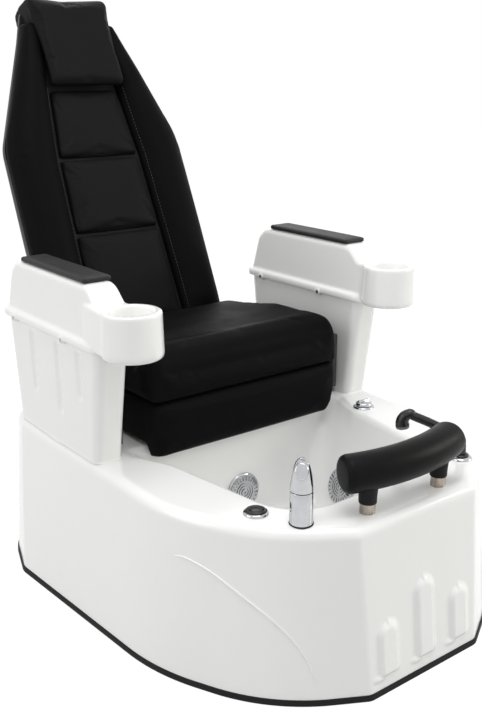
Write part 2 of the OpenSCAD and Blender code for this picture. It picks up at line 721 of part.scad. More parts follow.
// One side bolster: its cross-section, from the panel seam outwards, up the back
module bolster() color(black) on_back() {
    stations = [18, 40, 90, 200, 300, 430, 545, 620, 700, 780, 850, 884];
    loft([for (u = stations)
        let (
            xi = half_at(panel_half, u) + 4, xo = half_at(outer_half, u), w = xo - xi,
            lift = min(26, w * 0.3, 4 + (u - 18) * 0.3, 6 + (884 - u) * 0.5), deep = board_n - 1.2
        )
        [for (p = [[xi, deep], [xi, 2], [xi + w * 0.16, -lift * 0.6], [xi + w * 0.42, -lift],
                   [xi + w * 0.72, -lift * 0.9], [xo - w * 0.08, -lift * 0.35], [xo, 8],
                   [xo, 26], [xo - w * 0.06, deep]])
            [p.x, p.y, u]]]);
}

module back_panel(u0, u1) color(black) on_back()
    loft([for (k = [[u0, 8, 4], [u0 + 6, 1, 0], [mix(u0, u1, 0.5), 0, -5], [u1 - 6, 1, 0], [u1, 8, 4]])
        let (w = half_at(panel_half, k.x) - 0.5, e = k.y, f = panel_front + k.z)
        [for (p = [[-w, board_n - 1.2], [-w, 8 + e], [-w + 10, f + 1 + e / 3], [0, f - 3],
                   [w - 10, f + 1 + e / 3], [w, 8 + e], [w, board_n - 1.2]])
            [p.x, p.y, k.x]]]);

// Side view of the head pillow, which hooks over the top of the back
pillow_profile = [[-34, 712], [-34, 954], [40, 956], [82, 940], [82, 842], [66, 842], [66, 935],
                  [-1, 935], [-10, 702], [-24, 702]];
pillow_r = [14, 32, 24, 20, 6, 6, 3, 3, 6, 8];
overall_l = kick_proud + back_origin.x
    + max([for (p = rounded(pillow_profile, pillow_r)) p.x * cos(back_lean) + p.y * sin(back_lean)]);

// Its side view, drawn through, cut to its outline as seen from the front, and hollowed for the bolsters
module head_pillow() placed() color(black) on_back() difference() {
    half_w = 118;
    bolster_room = [[86, 10], [88, -3], [96, -12], [106, -17], [120, -18.5], [120, 10]];
    order = [len(pillow_r) - 1:-1:0];
    intersection() {
        rotate([90, 0, 90]) translate([0, 0, -half_w]) linear_extrude(2 * half_w)
            polygon(rounded([for (i = order) pillow_profile[i]], [for (i = order) pillow_r[i]]));
        translate([0, 100, 0]) rotate([90, 0, 0]) linear_extrude(200)
            polygon(rounded(slab(-half_w, half_w, 700, 958), 22));
    }
    for (m = [0, 1]) mirror([m, 0, 0]) translate([0, 0, 690]) linear_extrude(200) polygon(bolster_room);
}

// ---------- footrest ----------

roll_z = deck_h + roll_rise;
roll_bend_r = 437;
roll_angle = 23.2;
roll_mid_y = 75;

module roll(d, angle) {
    translate([0, roll_mid_y + roll_bend_r, roll_z]) rotate([0, 0, -90 - angle])
        rotate_extrude(angle = 2 * angle, $fn = 180) translate([roll_bend_r, 0]) circle(d = d);
}
module posts(d, z0, z1) {
    for (s = [-1, 1]) translate([s * post_pitch / 2, post_y, z0]) cylinder(d = d, h = z1 - z0);
}

module footrest_sockets() placed() color(steel) difference() {
    union() {
        posts(41, deck_h, deck_h + 20);
        posts(37.9, deck_h - 60, deck_h + 1);
        posts(52, deck_h - wall - 9, deck_h - wall - gap);
    }
    posts(post_d + 0.1, deck_h - 61, deck_h + 21);
}

module footrest_core() placed() color(steel) {
    roll(28, roll_angle - 2);
    difference() {
        posts(post_d, deck_h - 56, roll_z);
        posts(post_d - 5, deck_h - 57, roll_z - 20);
    }
}

module footrest_pad() placed() color(black) difference() {
    roll(roll_d, roll_angle);
    roll(28, roll_angle - 2);
    posts(post_d, deck_h, roll_z);
}

module footrest_sleeves() placed() color(black) difference() {
    for (s = [-1, 1]) translate([s * post_pitch / 2, post_y, deck_h + 20.5])
        cylinder(d1 = 42, d2 = 54, h = 32);
    posts(post_d, deck_h, roll_z);
    roll(roll_d, roll_angle);
}

// ---------- water, air and drain fittings ----------

module at_mixer() {
    translate([mixer_at.x, mixer_at.y, deck_h]) children();
}
module mixer_gasket() placed() color(black) at_mixer() ring(mixer_d + 2, 33, 2);

module mixer_body() placed() color(steel) at_mixer() difference() {
    union() {
        translate([0, 0, 2]) cylinder(d1 = mixer_d, d2 = mixer_d - 1, h = 64);
        translate([0, 0, -50]) cylinder(d = 30, h = 53);
        translate([0, 0, -wall - 10 - gap]) cylinder(d = 40, h = 10, $fn = 6);
    }
    translate([0, 0, 30]) cylinder(d = 30.1, h = 40);
    for (x = [-7, 7]) translate([x, 0, -51]) cylinder(d = 10, h = 60);
}

mixer_face = 62;     // slope of the face that carries the lever, from the horizontal
lever_pin = [-14, 0, -2];

// Turns its children so that X points away from the basin, over the deck's corner
module mixer_turned() {
    rotate([0, 0, 225]) children();
}

// Draws in the frame of the lever: Z stands out of the face, X runs down it
module on_mixer_face() {
    mixer_turned() translate([13, 0, mixer_h - 22]) rotate([0, mixer_face, 0]) children();
}

module mixer_cap() placed() color(steel) at_mixer() difference() {
    union() {
        translate([0, 0, 34]) cylinder(d = 30, h = 33);
        translate([0, 0, 66.4]) rotate_extrude()
            polygon([[0, 0], [22, 0], [22, 4], [20.6, 18], [17.5, 36], [13.5, 52], [9, 61],
                     [4, 64.5], [0, mixer_h - 66.4]]);
    }
    on_mixer_face() translate([-40, -40, 0]) cube([90, 80, 40]);
    on_mixer_face() translate(lever_pin + [0, 5.5, 0]) rotate([90, 0, 0]) cylinder(d = 7.1, h = 11);
}

module mixer_lever() placed() color(steel) at_mixer() on_mixer_face() {
    translate([0, 0, 1]) scale([1.26, 1, 1]) cylinder(d1 = 27, d2 = 25, h = 7);
    translate(lever_pin + [0, 5, 0]) rotate([90, 0, 0]) cylinder(d = 7, h = 10);
    translate(lever_pin - [1.5, 5, 0]) cube([3, 10, 4]);
}

module at_spray() {
    translate([spray_at.x, spray_at.y, deck_h]) children();
}
module spray_ring() placed() color(steel) at_spray() difference() {
    rotate_extrude() polygon([[15.2, 0], [24, 0], [24, 2], [21, 5], [17, 6.5], [15.2, 6.5]]);
}

module spray_collar() placed() color(black) at_spray() difference() {
    union() {
        translate([0, 0, -40]) cylinder(d = 30, h = 47);
        translate([0, 0, 6.6]) cylinder(d1 = 33, d2 = 30, h = 4);
        translate([0, 0, -wall - 9 - gap]) cylinder(d = 44, h = 9, $fn = 6);
    }
    translate([0, 0, -41]) cylinder(d = spray_d + 0.6, h = 60);
}

// Centre line of the spray as [distance out from its socket, height above the deck]:
// straight up through the collar, out over the basin's rim, then down into the head
spray_path = concat(
    [[0, -115], [0, -40], [0, 18], [1, 32]],
    [for (t = [0:0.25:1]) [4 + 102 * t, 46 + 54 * t - 8 * t * t]],
    [for (a = [80:-16:-16]) [108 + 21 * cos(a), 76 + 21 * sin(a)]]
);
spray_bearing = [-0.7071, 0.7071];
function spray_xyz(p) = [spray_bearing.x * p.x, spray_bearing.y * p.x, p.y];

module hand_spray() placed() color(black) at_spray() {
    last = len(spray_path) - 1;
    swept([for (p = spray_path) spray_xyz(p)],
          [for (i = [0:last]) i < 9 ? spray_d : spray_d + (i - 8) * 1.5], [0.7071, 0.7071, 0], 20);
}

module spray_nozzle() placed() color(grey) at_spray()
    translate(spray_xyz(spray_path[len(spray_path) - 1])) rotate([0, 0, 135])
        rotate([0, 188, 0]) difference() {
        translate([0, 0, 0.2]) cylinder(d1 = 27, d2 = 24, h = 7);
        for (a = [0:45:315]) rotate([0, 0, a]) translate([8, 0, 3]) cylinder(d = 3, h = 6, $fn = 16);
        translate([0, 0, 3]) cylinder(d = 5, h = 6, $fn = 16);
    }

module at_button() {
    translate([button_at.x, button_at.y, deck_h]) children();
}
module button_bezel() placed() color(steel) at_button() difference() {
    union() {
        rotate_extrude() polygon([[0, 0], [bezel_d / 2, 0], [bezel_d / 2, 2], [bezel_d / 2 - 3, 5.5],
                                  [0, 5.5]]);
        translate([0, 0, -40]) cylinder(d = 28, h = 41);
    }
    translate([0, 0, 1]) cylinder(d = 40.6, h = 10);
    translate([0, 0, -41]) cylinder(d = 16.4, h = 50);
}
module air_button() placed() color(black) at_button() {
    low = 1.5 + button_travel;
    rotate_extrude() polygon([[0, low], [20, low], [20, 7.5], [17.5, 9], [11, 8.2], [0, 7.4]]);
    translate([0, 0, -30]) cylinder(d = 16, h = 36);
}

module at_knob() {
    translate([knob_at.x, knob_at.y, deck_h]) children();
}
module knob_escutcheon() placed() color(steel) at_knob() difference() {
    union() {
        rotate_extrude() polygon([[0, 0], [26, 0], [26, 1.5], [22, 4.5], [0, 4.5]]);
        translate([0, 0, -30]) cylinder(d = 20, h = 31);
    }
    translate([0, 0, -31]) cylinder(d = 10.1, h = 60);
}
module drain_knob() placed() color(steel) at_knob() {
    rotate_extrude() polygon([[0, 5], [20, 5], [20, 9], [17, 13], [11, 15], [0, 15.5]]);
    intersection() {
        translate([-19, -4, 8]) cube([38, 8, 12]);
        translate([0, 0, 5]) rotate([90, 0, 0]) cylinder(d = 38, h = 20, center = true);
        translate([0, 0, 5]) cylinder(d = 38, h = 16);
    }
    translate([0, 0, -36]) cylinder(d = 10, h = 42);
}

module at_drain() {
    translate([0, 380, basin_floor_z]) children();
}
module drain_flange() placed() color(steel) at_drain() difference() {
    union() {
        rotate_extrude() polygon([[0, 0.1], [36, 0.1], [36, 1], [30, 3], [0, 3]]);
        translate([0, 0, -30]) cylinder(d = 50, h = 31);
        translate([0, 0, -wall - 12]) cylinder(d = 66, h = 12);
    }
    translate([0, 0, -31]) cylinder(d = drain_d, h = 60);
}
module drain_plug() placed() color(steel) at_drain() {
    rotate_extrude() polygon([[0, 0], [drain_d / 2 - 0.6, 0], [drain_d / 2 - 0.6, 2], [drain_d / 2 - 2, 4],
                              [8, 5.5], [0, 5.8]]);
    translate([0, 0, -26]) cylinder(d = 6, h = 27);
}

// A jet cover: a dished disc with round grooves and radial slots, and the jet body behind it
module jet() color(steel) {
    difference() {
        rotate_extrude() polygon([[0, 0.4], [jet_d / 2, 0.4], [jet_d / 2, 2], [jet_d / 2 - 4, 5],
                                  [30, 7], [12, 8.5], [0, 8.5]]);
        for (r = [17, 23]) translate([0, 0, 5.4]) ring(2 * r + 2.4, 2 * r, 6);
        for (a = [0:15:345]) rotate([0, 0, a]) translate([29, -1.4, -1]) cube([12.5, 2.8, 12]);
    }
    difference() {
        translate([0, 0, -46]) cylinder(d = jet_bore - 2, h = 46.6);
        translate([0, 0, -40]) cylinder(d = jet_bore - 8, h = 48);
    }
}
module jet_rear() placed() at_rear_jet() jet();
module jet_right() placed() at_side_jet() jet();
module jet_left() placed() mirror([1, 0, 0]) at_side_jet() jet();

// ---------- left and right ----------

module arm_panel_right() placed() arm_panel();
module arm_panel_left() placed() mirror([1, 0, 0]) arm_panel();
module arm_cap_right() placed() arm_cap();
module arm_cap_left() placed() mirror([1, 0, 0]) arm_cap();
module arm_pad_right() placed() arm_pad();
module arm_pad_left() placed() mirror([1, 0, 0]) arm_pad();
module bolster_right() placed() bolster();
module bolster_left() placed() mirror([1, 0, 0]) bolster();
module back_panel_lower() placed() back_panel(40, 294);
module back_panel_middle() placed() back_panel(301, 501);
module back_panel_upper() placed() back_panel(508, 694);

base_shell();
foot_basin();
kick_strip();
base_frame();
levelling_feet();
access_panel();
seat_pedestal();
slide_rails();
side_brackets();
arm_panel_left();
arm_panel_right();
arm_cap_left();
arm_cap_right();
arm_pad_left();
arm_pad_right();
arm_cap_screws();
footrest_sockets();
mixer_gasket();
mixer_body();
spray_ring();
spray_collar();
button_bezel();
knob_escutcheon();
drain_flange();
jet_rear();
jet_left();
jet_right();
jet_pump();
pipework();
control_box();
slide_carriage();
seat_pan();
seat_cushion();
seat_apron();
recline_brackets();
recline_actuator();
actuator_rod();
back_board();
back_shell();
recline_arms();
hinge_pins();
bolster_left();
bolster_right();
back_panel_upper();
back_panel_middle();
back_panel_lower();
head_pillow();
footrest_core();
footrest_pad();
footrest_sleeves();
mixer_cap();
mixer_lever();
hand_spray();
spray_nozzle();
air_button();
drain_knob();
drain_plug();
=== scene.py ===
"""A pedicure spa chair: its mouldings, upholstery, footrest and water fittings, dressed and lit."""

import logging
import math
from dataclasses import dataclass
from enum import Enum
from typing import Callable, ClassVar, Iterable, Optional, Sequence

import bmesh
import bpy
from mathutils import Matrix, Vector
from mathutils.bvhtree import BVHTree


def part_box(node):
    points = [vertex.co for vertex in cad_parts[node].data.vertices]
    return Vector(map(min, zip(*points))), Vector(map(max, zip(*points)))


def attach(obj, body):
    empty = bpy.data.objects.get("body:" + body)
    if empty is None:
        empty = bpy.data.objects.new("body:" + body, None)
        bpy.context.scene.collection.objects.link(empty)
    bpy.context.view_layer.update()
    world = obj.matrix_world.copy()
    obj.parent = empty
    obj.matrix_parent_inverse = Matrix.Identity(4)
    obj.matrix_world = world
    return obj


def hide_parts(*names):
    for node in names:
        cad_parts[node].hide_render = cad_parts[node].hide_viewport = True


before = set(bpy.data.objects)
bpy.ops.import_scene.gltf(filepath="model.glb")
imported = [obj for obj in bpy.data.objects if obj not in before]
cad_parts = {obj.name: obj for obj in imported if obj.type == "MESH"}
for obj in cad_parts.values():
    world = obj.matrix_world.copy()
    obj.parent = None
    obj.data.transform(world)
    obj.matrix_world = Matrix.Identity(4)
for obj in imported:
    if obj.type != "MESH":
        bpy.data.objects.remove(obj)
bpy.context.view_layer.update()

LOG = logging.getLogger("spa_chair")
MM = 0.001
KICK_PROUD = 3.0  # how far the kick strip stands out from the base
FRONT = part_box("kick_strip")[0].y / MM + KICK_PROUD  # the front of the base, in millimetres
DECK = 350.0  # height of the deck
Pairs = Sequence[tuple[float, float]]  # points of an outline, or rows of a table


# ---------- geometry helpers, in millimetres ----------


def place(across: float, depth: float, height: float) -> Vector:
    """A point in the part's frame.

    Args:
        across: Distance from the middle of the chair, in millimetres.
        depth: Distance behind the front of the base.
        height: Height above the floor.

    Returns:
        The point in metres.
    """
    return Vector((across, FRONT + depth, height)) * MM


def mix(a: float, b: float, t: float) -> float:
    """The value t of the way from a to b."""
    return a + (b - a) * t


def smooth(low: float, high: float, x: float) -> float:
    """A soft step from 0 at low to 1 at high."""
    t = min(1.0, max(0.0, (x - low) / (high - low)))
    return t * t * (3 - 2 * t)


def both_sides(half: Pairs) -> list[Vector]:
    """A whole outline from its right half, which runs from front to rear."""
    right = [Vector(p) for p in half]
    return right + [Vector((-p.x, p.y)) for p in reversed(right)]


def rectangle(x0: float, y0: float, x1: float, y1: float) -> list[Vector]:
    """The corners of a rectangle, counter-clockwise from its lowest."""
    return [Vector((x0, y0)), Vector((x1, y0)), Vector((x1, y1)), Vector((x0, y1))]


def quarter(steps: int = 6) -> list[float]:
    """Angles in radians, in even steps from 0 to a right angle."""
    return [math.radians(90 * k / steps) for k in range(steps + 1)]


def level(ring: Iterable[Vector], height: float) -> list[Vector]:
    """A flat ring at a height, in the part's frame."""
    return [place(p.x, p.y, height) for p in ring]


def both(values: Sequence[float]) -> list[float]:
    """Values for the corners of a whole outline from those of its right half."""
    return list(values) + list(reversed(values))


def inset(points: Sequence[Vector], inward: float) -> list[Vector]:
    """Moves every side of a counter-clockwise outline inwards.

    Args:
        points: The outline's corners.
        inward: The distance, negative for outwards.

    Returns:
        The corners of the new outline.
    """
    moved = []
    for i, corner in enumerate(points):
        before = (corner - points[i - 1]).normalized()
        after = (points[(i + 1) % len(points)] - corner).normalized()
        n1, n2 = Vector((-before.y, before.x)), Vector((-after.y, after.x))
        moved.append(corner + inward * (n1 + n2) / (1 + n1.dot(n2)))
    return moved


def rounded(
    corners: Sequence[Vector],
    radii: Sequence[float],
    steps: Sequence[int],
    spans: Optional[Sequence[int]] = None,
) -> list[Vector]:
    """Rounds the corners of an outline, with the same number of points each time.

    Args:
        corners: The outline's corners, in order.
        radii: The radius at each corner.
        steps: How many segments each arc has.
        spans: How many segments the straight after each corner has.

    Returns:
        The points of the rounded outline.
    """
    arcs = []
    for i, corner in enumerate(corners):
        a = (corners[i - 1] - corner).normalized()
        b = (corners[(i + 1) % len(corners)] - corner).normalized()
        half = math.acos(max(-1.0, min(1.0, a.dot(b)))) / 2
        centre = corner + (a + b).normalized() * radii[i] / math.sin(half)
        start = corner + a * radii[i] / math.tan(half) - centre
        turn = (math.pi - 2 * half) * (1 if a.x * b.y - a.y * b.x < 0 else -1)
        arcs.append([centre + Matrix.Rotation(turn * k / steps[i], 2) @ start for k in range(steps[i] + 1)])
    points = []
    for i, arc in enumerate(arcs):
        points += arc
        count = spans[i] if spans else 1
        follow = arcs[(i + 1) % len(arcs)][0]
        points += [arc[-1].lerp(follow, k / count) for k in range(1, count)]
    return points


def curve_through(points: Sequence[Vector], per_span: int, closed: bool = False) -> list[Vector]:
    """A smooth curve through points.

    Args:
        points: The points that the curve passes through.
        per_span: How many segments each span gets.
        closed: Whether the curve comes back to its start.

    Returns:
        The points of the curve.
    """
    count = len(points)
    result = []
    for i in range(count if closed else count - 1):
        p0 = points[(i - 1) % count] if closed or i > 0 else points[0]
        p1, p2 = points[i], points[(i + 1) % count]
        p3 = points[(i + 2) % count] if closed or i + 2 < count else points[-1]
        for k in range(per_span):
            t = k / per_span
            result.append(
                0.5 * (2 * p1 + (p2 - p0) * t + (2 * p0 - 5 * p1 + 4 * p2 - p3) * t * t
                       + (3 * p1 - p0 - 3 * p2 + p3) * t ** 3)
            )
    if not closed:
        result.append(points[-1].copy())
    return result


class Skin:
    """A surface grown ring by ring, by extruding its last loop of edges."""

    def __init__(self, points: Sequence[Vector], mesh: Optional[bmesh.types.BMesh] = None) -> None:
        """Starts the skin with one closed loop.

        Args:
            points: The points of the loop, in metres.
            mesh: The mesh that it grows in, which is a new one unless it is given.
        """
        self.mesh = mesh or bmesh.new()
        self.verts = [self.mesh.verts.new(p) for p in points]
        count = len(self.verts)
        for i, vert in enumerate(self.verts):
            self.mesh.edges.new((vert, self.verts[(i + 1) % count]))
        self.first = list(self.verts)

    def edges(self, verts: Optional[Sequence[bmesh.types.BMVert]] = None) -> list[bmesh.types.BMEdge]:
        """The edges of a loop, which is the last one unless another is given."""
        verts = verts or self.verts
        return [self.mesh.edges.get((v, verts[(i + 1) % len(verts)])) for i, v in enumerate(verts)]

    def grow(self, points: Sequence[Vector]) -> "Skin":
        """Extrudes the last loop.

        Args:
            points: Where the new loop's points go, in metres and in the order of the last loop.

        Returns:
            The skin itself.
        """
        order = {vert: i for i, vert in enumerate(self.verts)}
        made = bmesh.ops.extrude_edge_only(self.mesh, edges=self.edges())["geom"]
        fresh: list = [None] * len(self.verts)
        for vert in made:
            if isinstance(vert, bmesh.types.BMVert):
                old = next(e.other_vert(vert) for e in vert.link_edges if e.other_vert(vert) in order)
                fresh[order[old]] = vert
        for vert, point in zip(fresh, points):
            vert.co = point
        self.verts = fresh
        return self

    def cap(self, verts: Optional[Sequence[bmesh.types.BMVert]] = None) -> "Skin":
        """Closes a loop, which is the last one unless another is given, with one face."""
        bmesh.ops.edgeloop_fill(self.mesh, edges=self.edges(verts))
        return self


def loft(rings: Sequence[Sequence[Vector]], closed: bool = False) -> bmesh.types.BMesh:
    """A closed solid through rings.

    Args:
        rings: Rings of equal length, in metres.
        closed: Whether the last ring is joined to the first, in place of two end faces.

    Returns:
        The mesh.
    """
    skin = Skin(rings[0])
    for ring in rings[1:]:
        skin.grow(ring)
    if closed:
        skin.grow(rings[0])
        bmesh.ops.remove_doubles(skin.mesh, verts=skin.mesh.verts, dist=1e-7)
    else:
        skin.cap().cap(skin.first)
    return skin.mesh


def lathe(profile: Pairs, segments: int = 64) -> bmesh.types.BMesh:
    """Spins a profile about Z.

    Args:
        profile: Points as (radius, height) in millimetres.
        segments: How many steps the full turn has.

    Returns:
        The mesh, in metres.
    """
    mesh = bmesh.new()
    verts = [mesh.verts.new((r * MM, 0, z * MM)) for r, z in profile]
    edges = [mesh.edges.new(pair) for pair in zip(verts, verts[1:])]
    bmesh.ops.spin(mesh, geom=verts + edges, axis=(0, 0, 1), cent=(0, 0, 0), angle=2 * math.pi,
                   steps=segments, use_merge=True)
    bmesh.ops.remove_doubles(mesh, verts=mesh.verts, dist=1e-6)
    bmesh.ops.recalc_face_normals(mesh, faces=mesh.faces)
    return mesh


def swept(points: Sequence[Vector], radii: Sequence[float], sides: int = 24) -> bmesh.types.BMesh:
    """A round bar along a path.

    Args:
        points: The path, in metres.
        radii: Its radius at each point, in millimetres.
        sides: How many sides its section has.

    Returns:
        The mesh, closed at both ends.
    """
    last = len(points) - 1
    across = None
    rings = []
    for i, point in enumerate(points):
        along = (points[min(last, i + 1)] - points[max(0, i - 1)]).normalized()
        across = across or along.orthogonal()
        across = (across - along * across.dot(along)).normalized()
        other = along.cross(across)
        turns = (2 * math.pi * k / sides for k in range(sides))
        rings.append([point + radii[i] * MM * (math.cos(a) * across + math.sin(a) * other) for a in turns])
    return loft(rings)


def block(low: Vector, high: Vector, radius: float, segments: int = 4) -> bmesh.types.BMesh:
    """A block with all its edges rounded.

    Args:
        low: Its lowest corner, in metres.
        high: Its highest corner.
        radius: The rounding, in millimetres.
        segments: How many segments the rounding has.

    Returns:
        The mesh.
    """
    mesh = bmesh.new()
    bmesh.ops.create_cube(mesh, size=1.0)
    bmesh.ops.scale(mesh, vec=high - low, verts=mesh.verts)
    bmesh.ops.translate(mesh, vec=(low + high) / 2, verts=mesh.verts)
    soften(mesh, mesh.edges, radius, segments)
    return mesh


def soften(mesh: bmesh.types.BMesh, edges: Iterable, radius: float, segments: int = 4) -> None:
    """Rounds edges of a mesh.

    Args:
        mesh: The mesh.
        edges: The edges to round.
        radius: The rounding, in millimetres.
        segments: How many segments the rounding has.
    """
    bmesh.ops.bevel(
        mesh,
        geom=list(edges),
        offset=radius * MM,
        offset_type="OFFSET",
        segments=segments,
        profile=0.5,
        affect="EDGES",
        material=-1,
        clamp_overlap=True,
    )


def joined(*meshes: bmesh.types.BMesh) -> bmesh.types.BMesh:
    """Puts several meshes into one.

    Args:
        meshes: The meshes, which are freed.

    Returns:
        The mesh that holds them all.
    """
    result = bmesh.new()
    for mesh in meshes:
        held = bpy.data.meshes.new("held")
        mesh.to_mesh(held)
        mesh.free()
        result.from_mesh(held)
        bpy.data.meshes.remove(held)
    return result


def moved(mesh: bmesh.types.BMesh, matrix: Matrix) -> bmesh.types.BMesh:
    """The same mesh after a transform."""
    bmesh.ops.transform(mesh, matrix=matrix, verts=mesh.verts)
    return mesh


def reach(face: bmesh.types.BMFace) -> float:
    """How far a face's middle lies from the Z axis, in metres."""
    return face.calc_center_median().to_2d().length


def sector(face: bmesh.types.BMFace, width: float) -> int:
    """Which sector about Z, width degrees wide, a face's middle lies in."""
    middle = face.calc_center_median()
    return int(math.degrees(math.atan2(middle.y, middle.x)) // width)


# ---------- finishes ----------


def colour(code: str) -> tuple[float, float, float, float]:
    """Turns an sRGB colour to a linear one.

    Args:
        code: The colour as a hex code with its leading mark.

    Returns:
        Linear red, green and blue, and an alpha of 1.
    """
    parts = [int(code[i:i + 2], 16) / 255 for i in (1, 3, 5)]
    linear = [c / 12.92 if c <= 0.04045 else ((c + 0.055) / 1.055) ** 2.4 for c in parts]
    return (linear[0], linear[1], linear[2], 1.0)


def node(
    tree: bpy.types.NodeTree, kind: str, inputs: Optional[dict] = None, **settings: object
) -> bpy.types.Node:
    """Adds a shader node.

    Args:
        tree: The material's or world's node tree.
        kind: The node's type.
        inputs: Values or sockets for its inputs, by name or number.
        settings: Its other settings.

    Returns:
        The node.
    """
    made = tree.nodes.new(kind)
    for key, value in settings.items():
        setattr(made, key, value)
    for key, value in (inputs or {}).items():
        if isinstance(value, bpy.types.NodeSocket):
            tree.links.new(value, made.inputs[key])
        else:
            made.inputs[key].default_value = value
    return made


def per(size: float) -> float:
    """The texture scale at which a pattern repeats about every size millimetres."""
    return 1 / (size * MM)


@dataclass(frozen=True)
class Finish:
    """What all finishes share: a colour that drifts to a second tone, and an uneven gloss."""

    name: str
    base: str
    tone: str
    roughness: float
    spread: float = 0.06  # how far the roughness wanders to both sides
    patch: float = 90.0  # size of the drift, in millimetres
    metallic: float = 0.0
    coat: float = 0.0
    coat_roughness: float = 0.05
    specular: float = 0.5
    grain: float = 2.0  # size of the surface grain, in millimetres
    relief: float = 0.02  # depth of the grain, in millimetres

    def material(self) -> bpy.types.Material:
        """Makes the finish's material the first time it is asked for.

        Returns:
            The material.
        """
        made = bpy.data.materials.get(self.name)
        if made:
            return made
        made = bpy.data.materials.new(self.name)
        made.use_nodes = True
        made.diffuse_color = colour(self.base)
        tree = made.node_tree
        shader = tree.nodes["Principled BSDF"]
        shader.inputs["Metallic"].default_value = self.metallic
        shader.inputs["Specular IOR Level"].default_value = self.specular
        shader.inputs["Coat Weight"].default_value = self.coat
        shader.inputs["Coat Roughness"].default_value = self.coat_roughness
        spot = node(tree, "ShaderNodeTexCoord").outputs["Object"]
        drift = node(tree, "ShaderNodeTexNoise",
                     {"Vector": spot, "Scale": per(self.patch), "Detail": 4.0, "Roughness": 0.6})
        even = node(tree, "ShaderNodeMapRange",
                    {"Value": drift.outputs["Fac"], "From Min": 0.3, "From Max": 0.7,
                     "To Min": self.roughness - self.spread, "To Max": self.roughness + self.spread})
        tree.links.new(even.outputs["Result"], shader.inputs["Roughness"])
        shade = self.shade(tree, spot, drift.outputs["Fac"])
        tree.links.new(shade, shader.inputs["Base Color"])
        bump = node(tree, "ShaderNodeBump",
                    {"Height": self.height(tree, spot), "Strength": 1.0, "Distance": self.relief * MM})
        tree.links.new(bump.outputs["Normal"], shader.inputs["Normal"])
        return made

    def shade(
        self, tree: bpy.types.NodeTree, spot: bpy.types.NodeSocket, drift: bpy.types.NodeSocket
    ) -> bpy.types.NodeSocket:
        """The colour: the base and its tone, mixed by the drift."""
        ends = {0: drift, 6: colour(self.base), 7: colour(self.tone)}
        return node(tree, "ShaderNodeMix", ends, data_type="RGBA").outputs[2]

    def height(self, tree: bpy.types.NodeTree, spot: bpy.types.NodeSocket) -> bpy.types.NodeSocket:
        """The relief: a plain fine grain."""
        return node(
            tree, "ShaderNodeTexNoise", {"Vector": spot, "Scale": per(self.grain), "Detail": 3.0}
        ).outputs["Fac"]


@dataclass(frozen=True)
class GelCoat(Finish):
    """Gel-coated glass fibre: a deep gloss over a faint orange peel, with a broad ripple from the mould."""

    ripple: float = 140.0  # size of the ripple, in millimetres
    ripple_depth: float = 9.0  # against the depth of the orange peel

    def height(self, tree: bpy.types.NodeTree, spot: bpy.types.NodeSocket) -> bpy.types.NodeSocket:
        """Orange peel a few millimetres across, on a ripple a hand's width across.

        Args:
            tree: The material's node tree.
            spot: The place on the piece.

        Returns:
            The height's socket.
        """
        peel = super().height(tree, spot)
        wave = node(tree, "ShaderNodeTexNoise", {"Vector": spot, "Scale": per(self.ripple), "Detail": 1.0})
        return node(
            tree, "ShaderNodeMath", {0: wave.outputs["Fac"], 1: self.ripple_depth, 2: peel},
            operation="MULTIPLY_ADD",
        ).outputs[0]


@dataclass(frozen=True)
class CoatedFabric(Finish):
    """Vinyl-coated upholstery fabric: pebbled grain, fine pores and slack creases."""

    pebble: float = 1.9  # a real pebble is about 1 mm; drawn coarser so that it shows
    crease: float = 46.0  # size of the creases, in millimetres
    crease_depth: float = 1.6  # against the depth of the pebbles
    pore_depth: float = 0.5

    def height(self, tree: bpy.types.NodeTree, spot: bpy.types.NodeSocket) -> bpy.types.NodeSocket:
        """Pebbles with soft creases between them, under the stretch marks of the cover.

        Args:
            tree: The material's node tree.
            spot: The place on the piece.

        Returns:
            The height's socket.
        """
        cells = node(tree, "ShaderNodeTexVoronoi",
                     {"Vector": spot, "Scale": per(self.pebble), "Randomness": 1.0}, feature="SMOOTH_F1")
        pores = super().height(tree, spot)
        stretch = node(tree, "ShaderNodeTexNoise",
                       {"Vector": spot, "Scale": per(self.crease), "Detail": 2.0, "Distortion": 1.2})
        fine = node(tree, "ShaderNodeMath", {0: pores, 1: self.pore_depth, 2: cells.outputs["Distance"]},
                    operation="MULTIPLY_ADD")
        return node(
            tree, "ShaderNodeMath", {0: stretch.outputs["Fac"], 1: self.crease_depth, 2: fine.outputs[0]},
            operation="MULTIPLY_ADD",
        ).outputs[0]


@dataclass(frozen=True)
class BrushedMetal(Finish):
    """Turned or brushed steel: fine lines that run round the piece."""

    line: float = 1.1  # spacing of the lines, drawn coarser than the real 0.1 mm so that they show
    along: tuple[float, float, float] = (0.02, 0.02, 1.0)  # draws the noise out across the axis

    def height(self, tree: bpy.types.NodeTree, spot: bpy.types.NodeSocket) -> bpy.types.NodeSocket:
        """Noise squeezed into lines that lie square to the axis.

        Args:
            tree: The material's node tree.
            spot: The place on the piece.

        Returns:
            The height's socket.
        """
        scaled = node(tree, "ShaderNodeMapping", {"Vector": spot, "Scale": self.along})
        lines = node(tree, "ShaderNodeTexNoise",
                     {"Vector": scaled.outputs["Vector"], "Scale": per(self.line), "Detail": 4.0,
                      "Roughness": 0.7})
        return lines.outputs["Fac"]


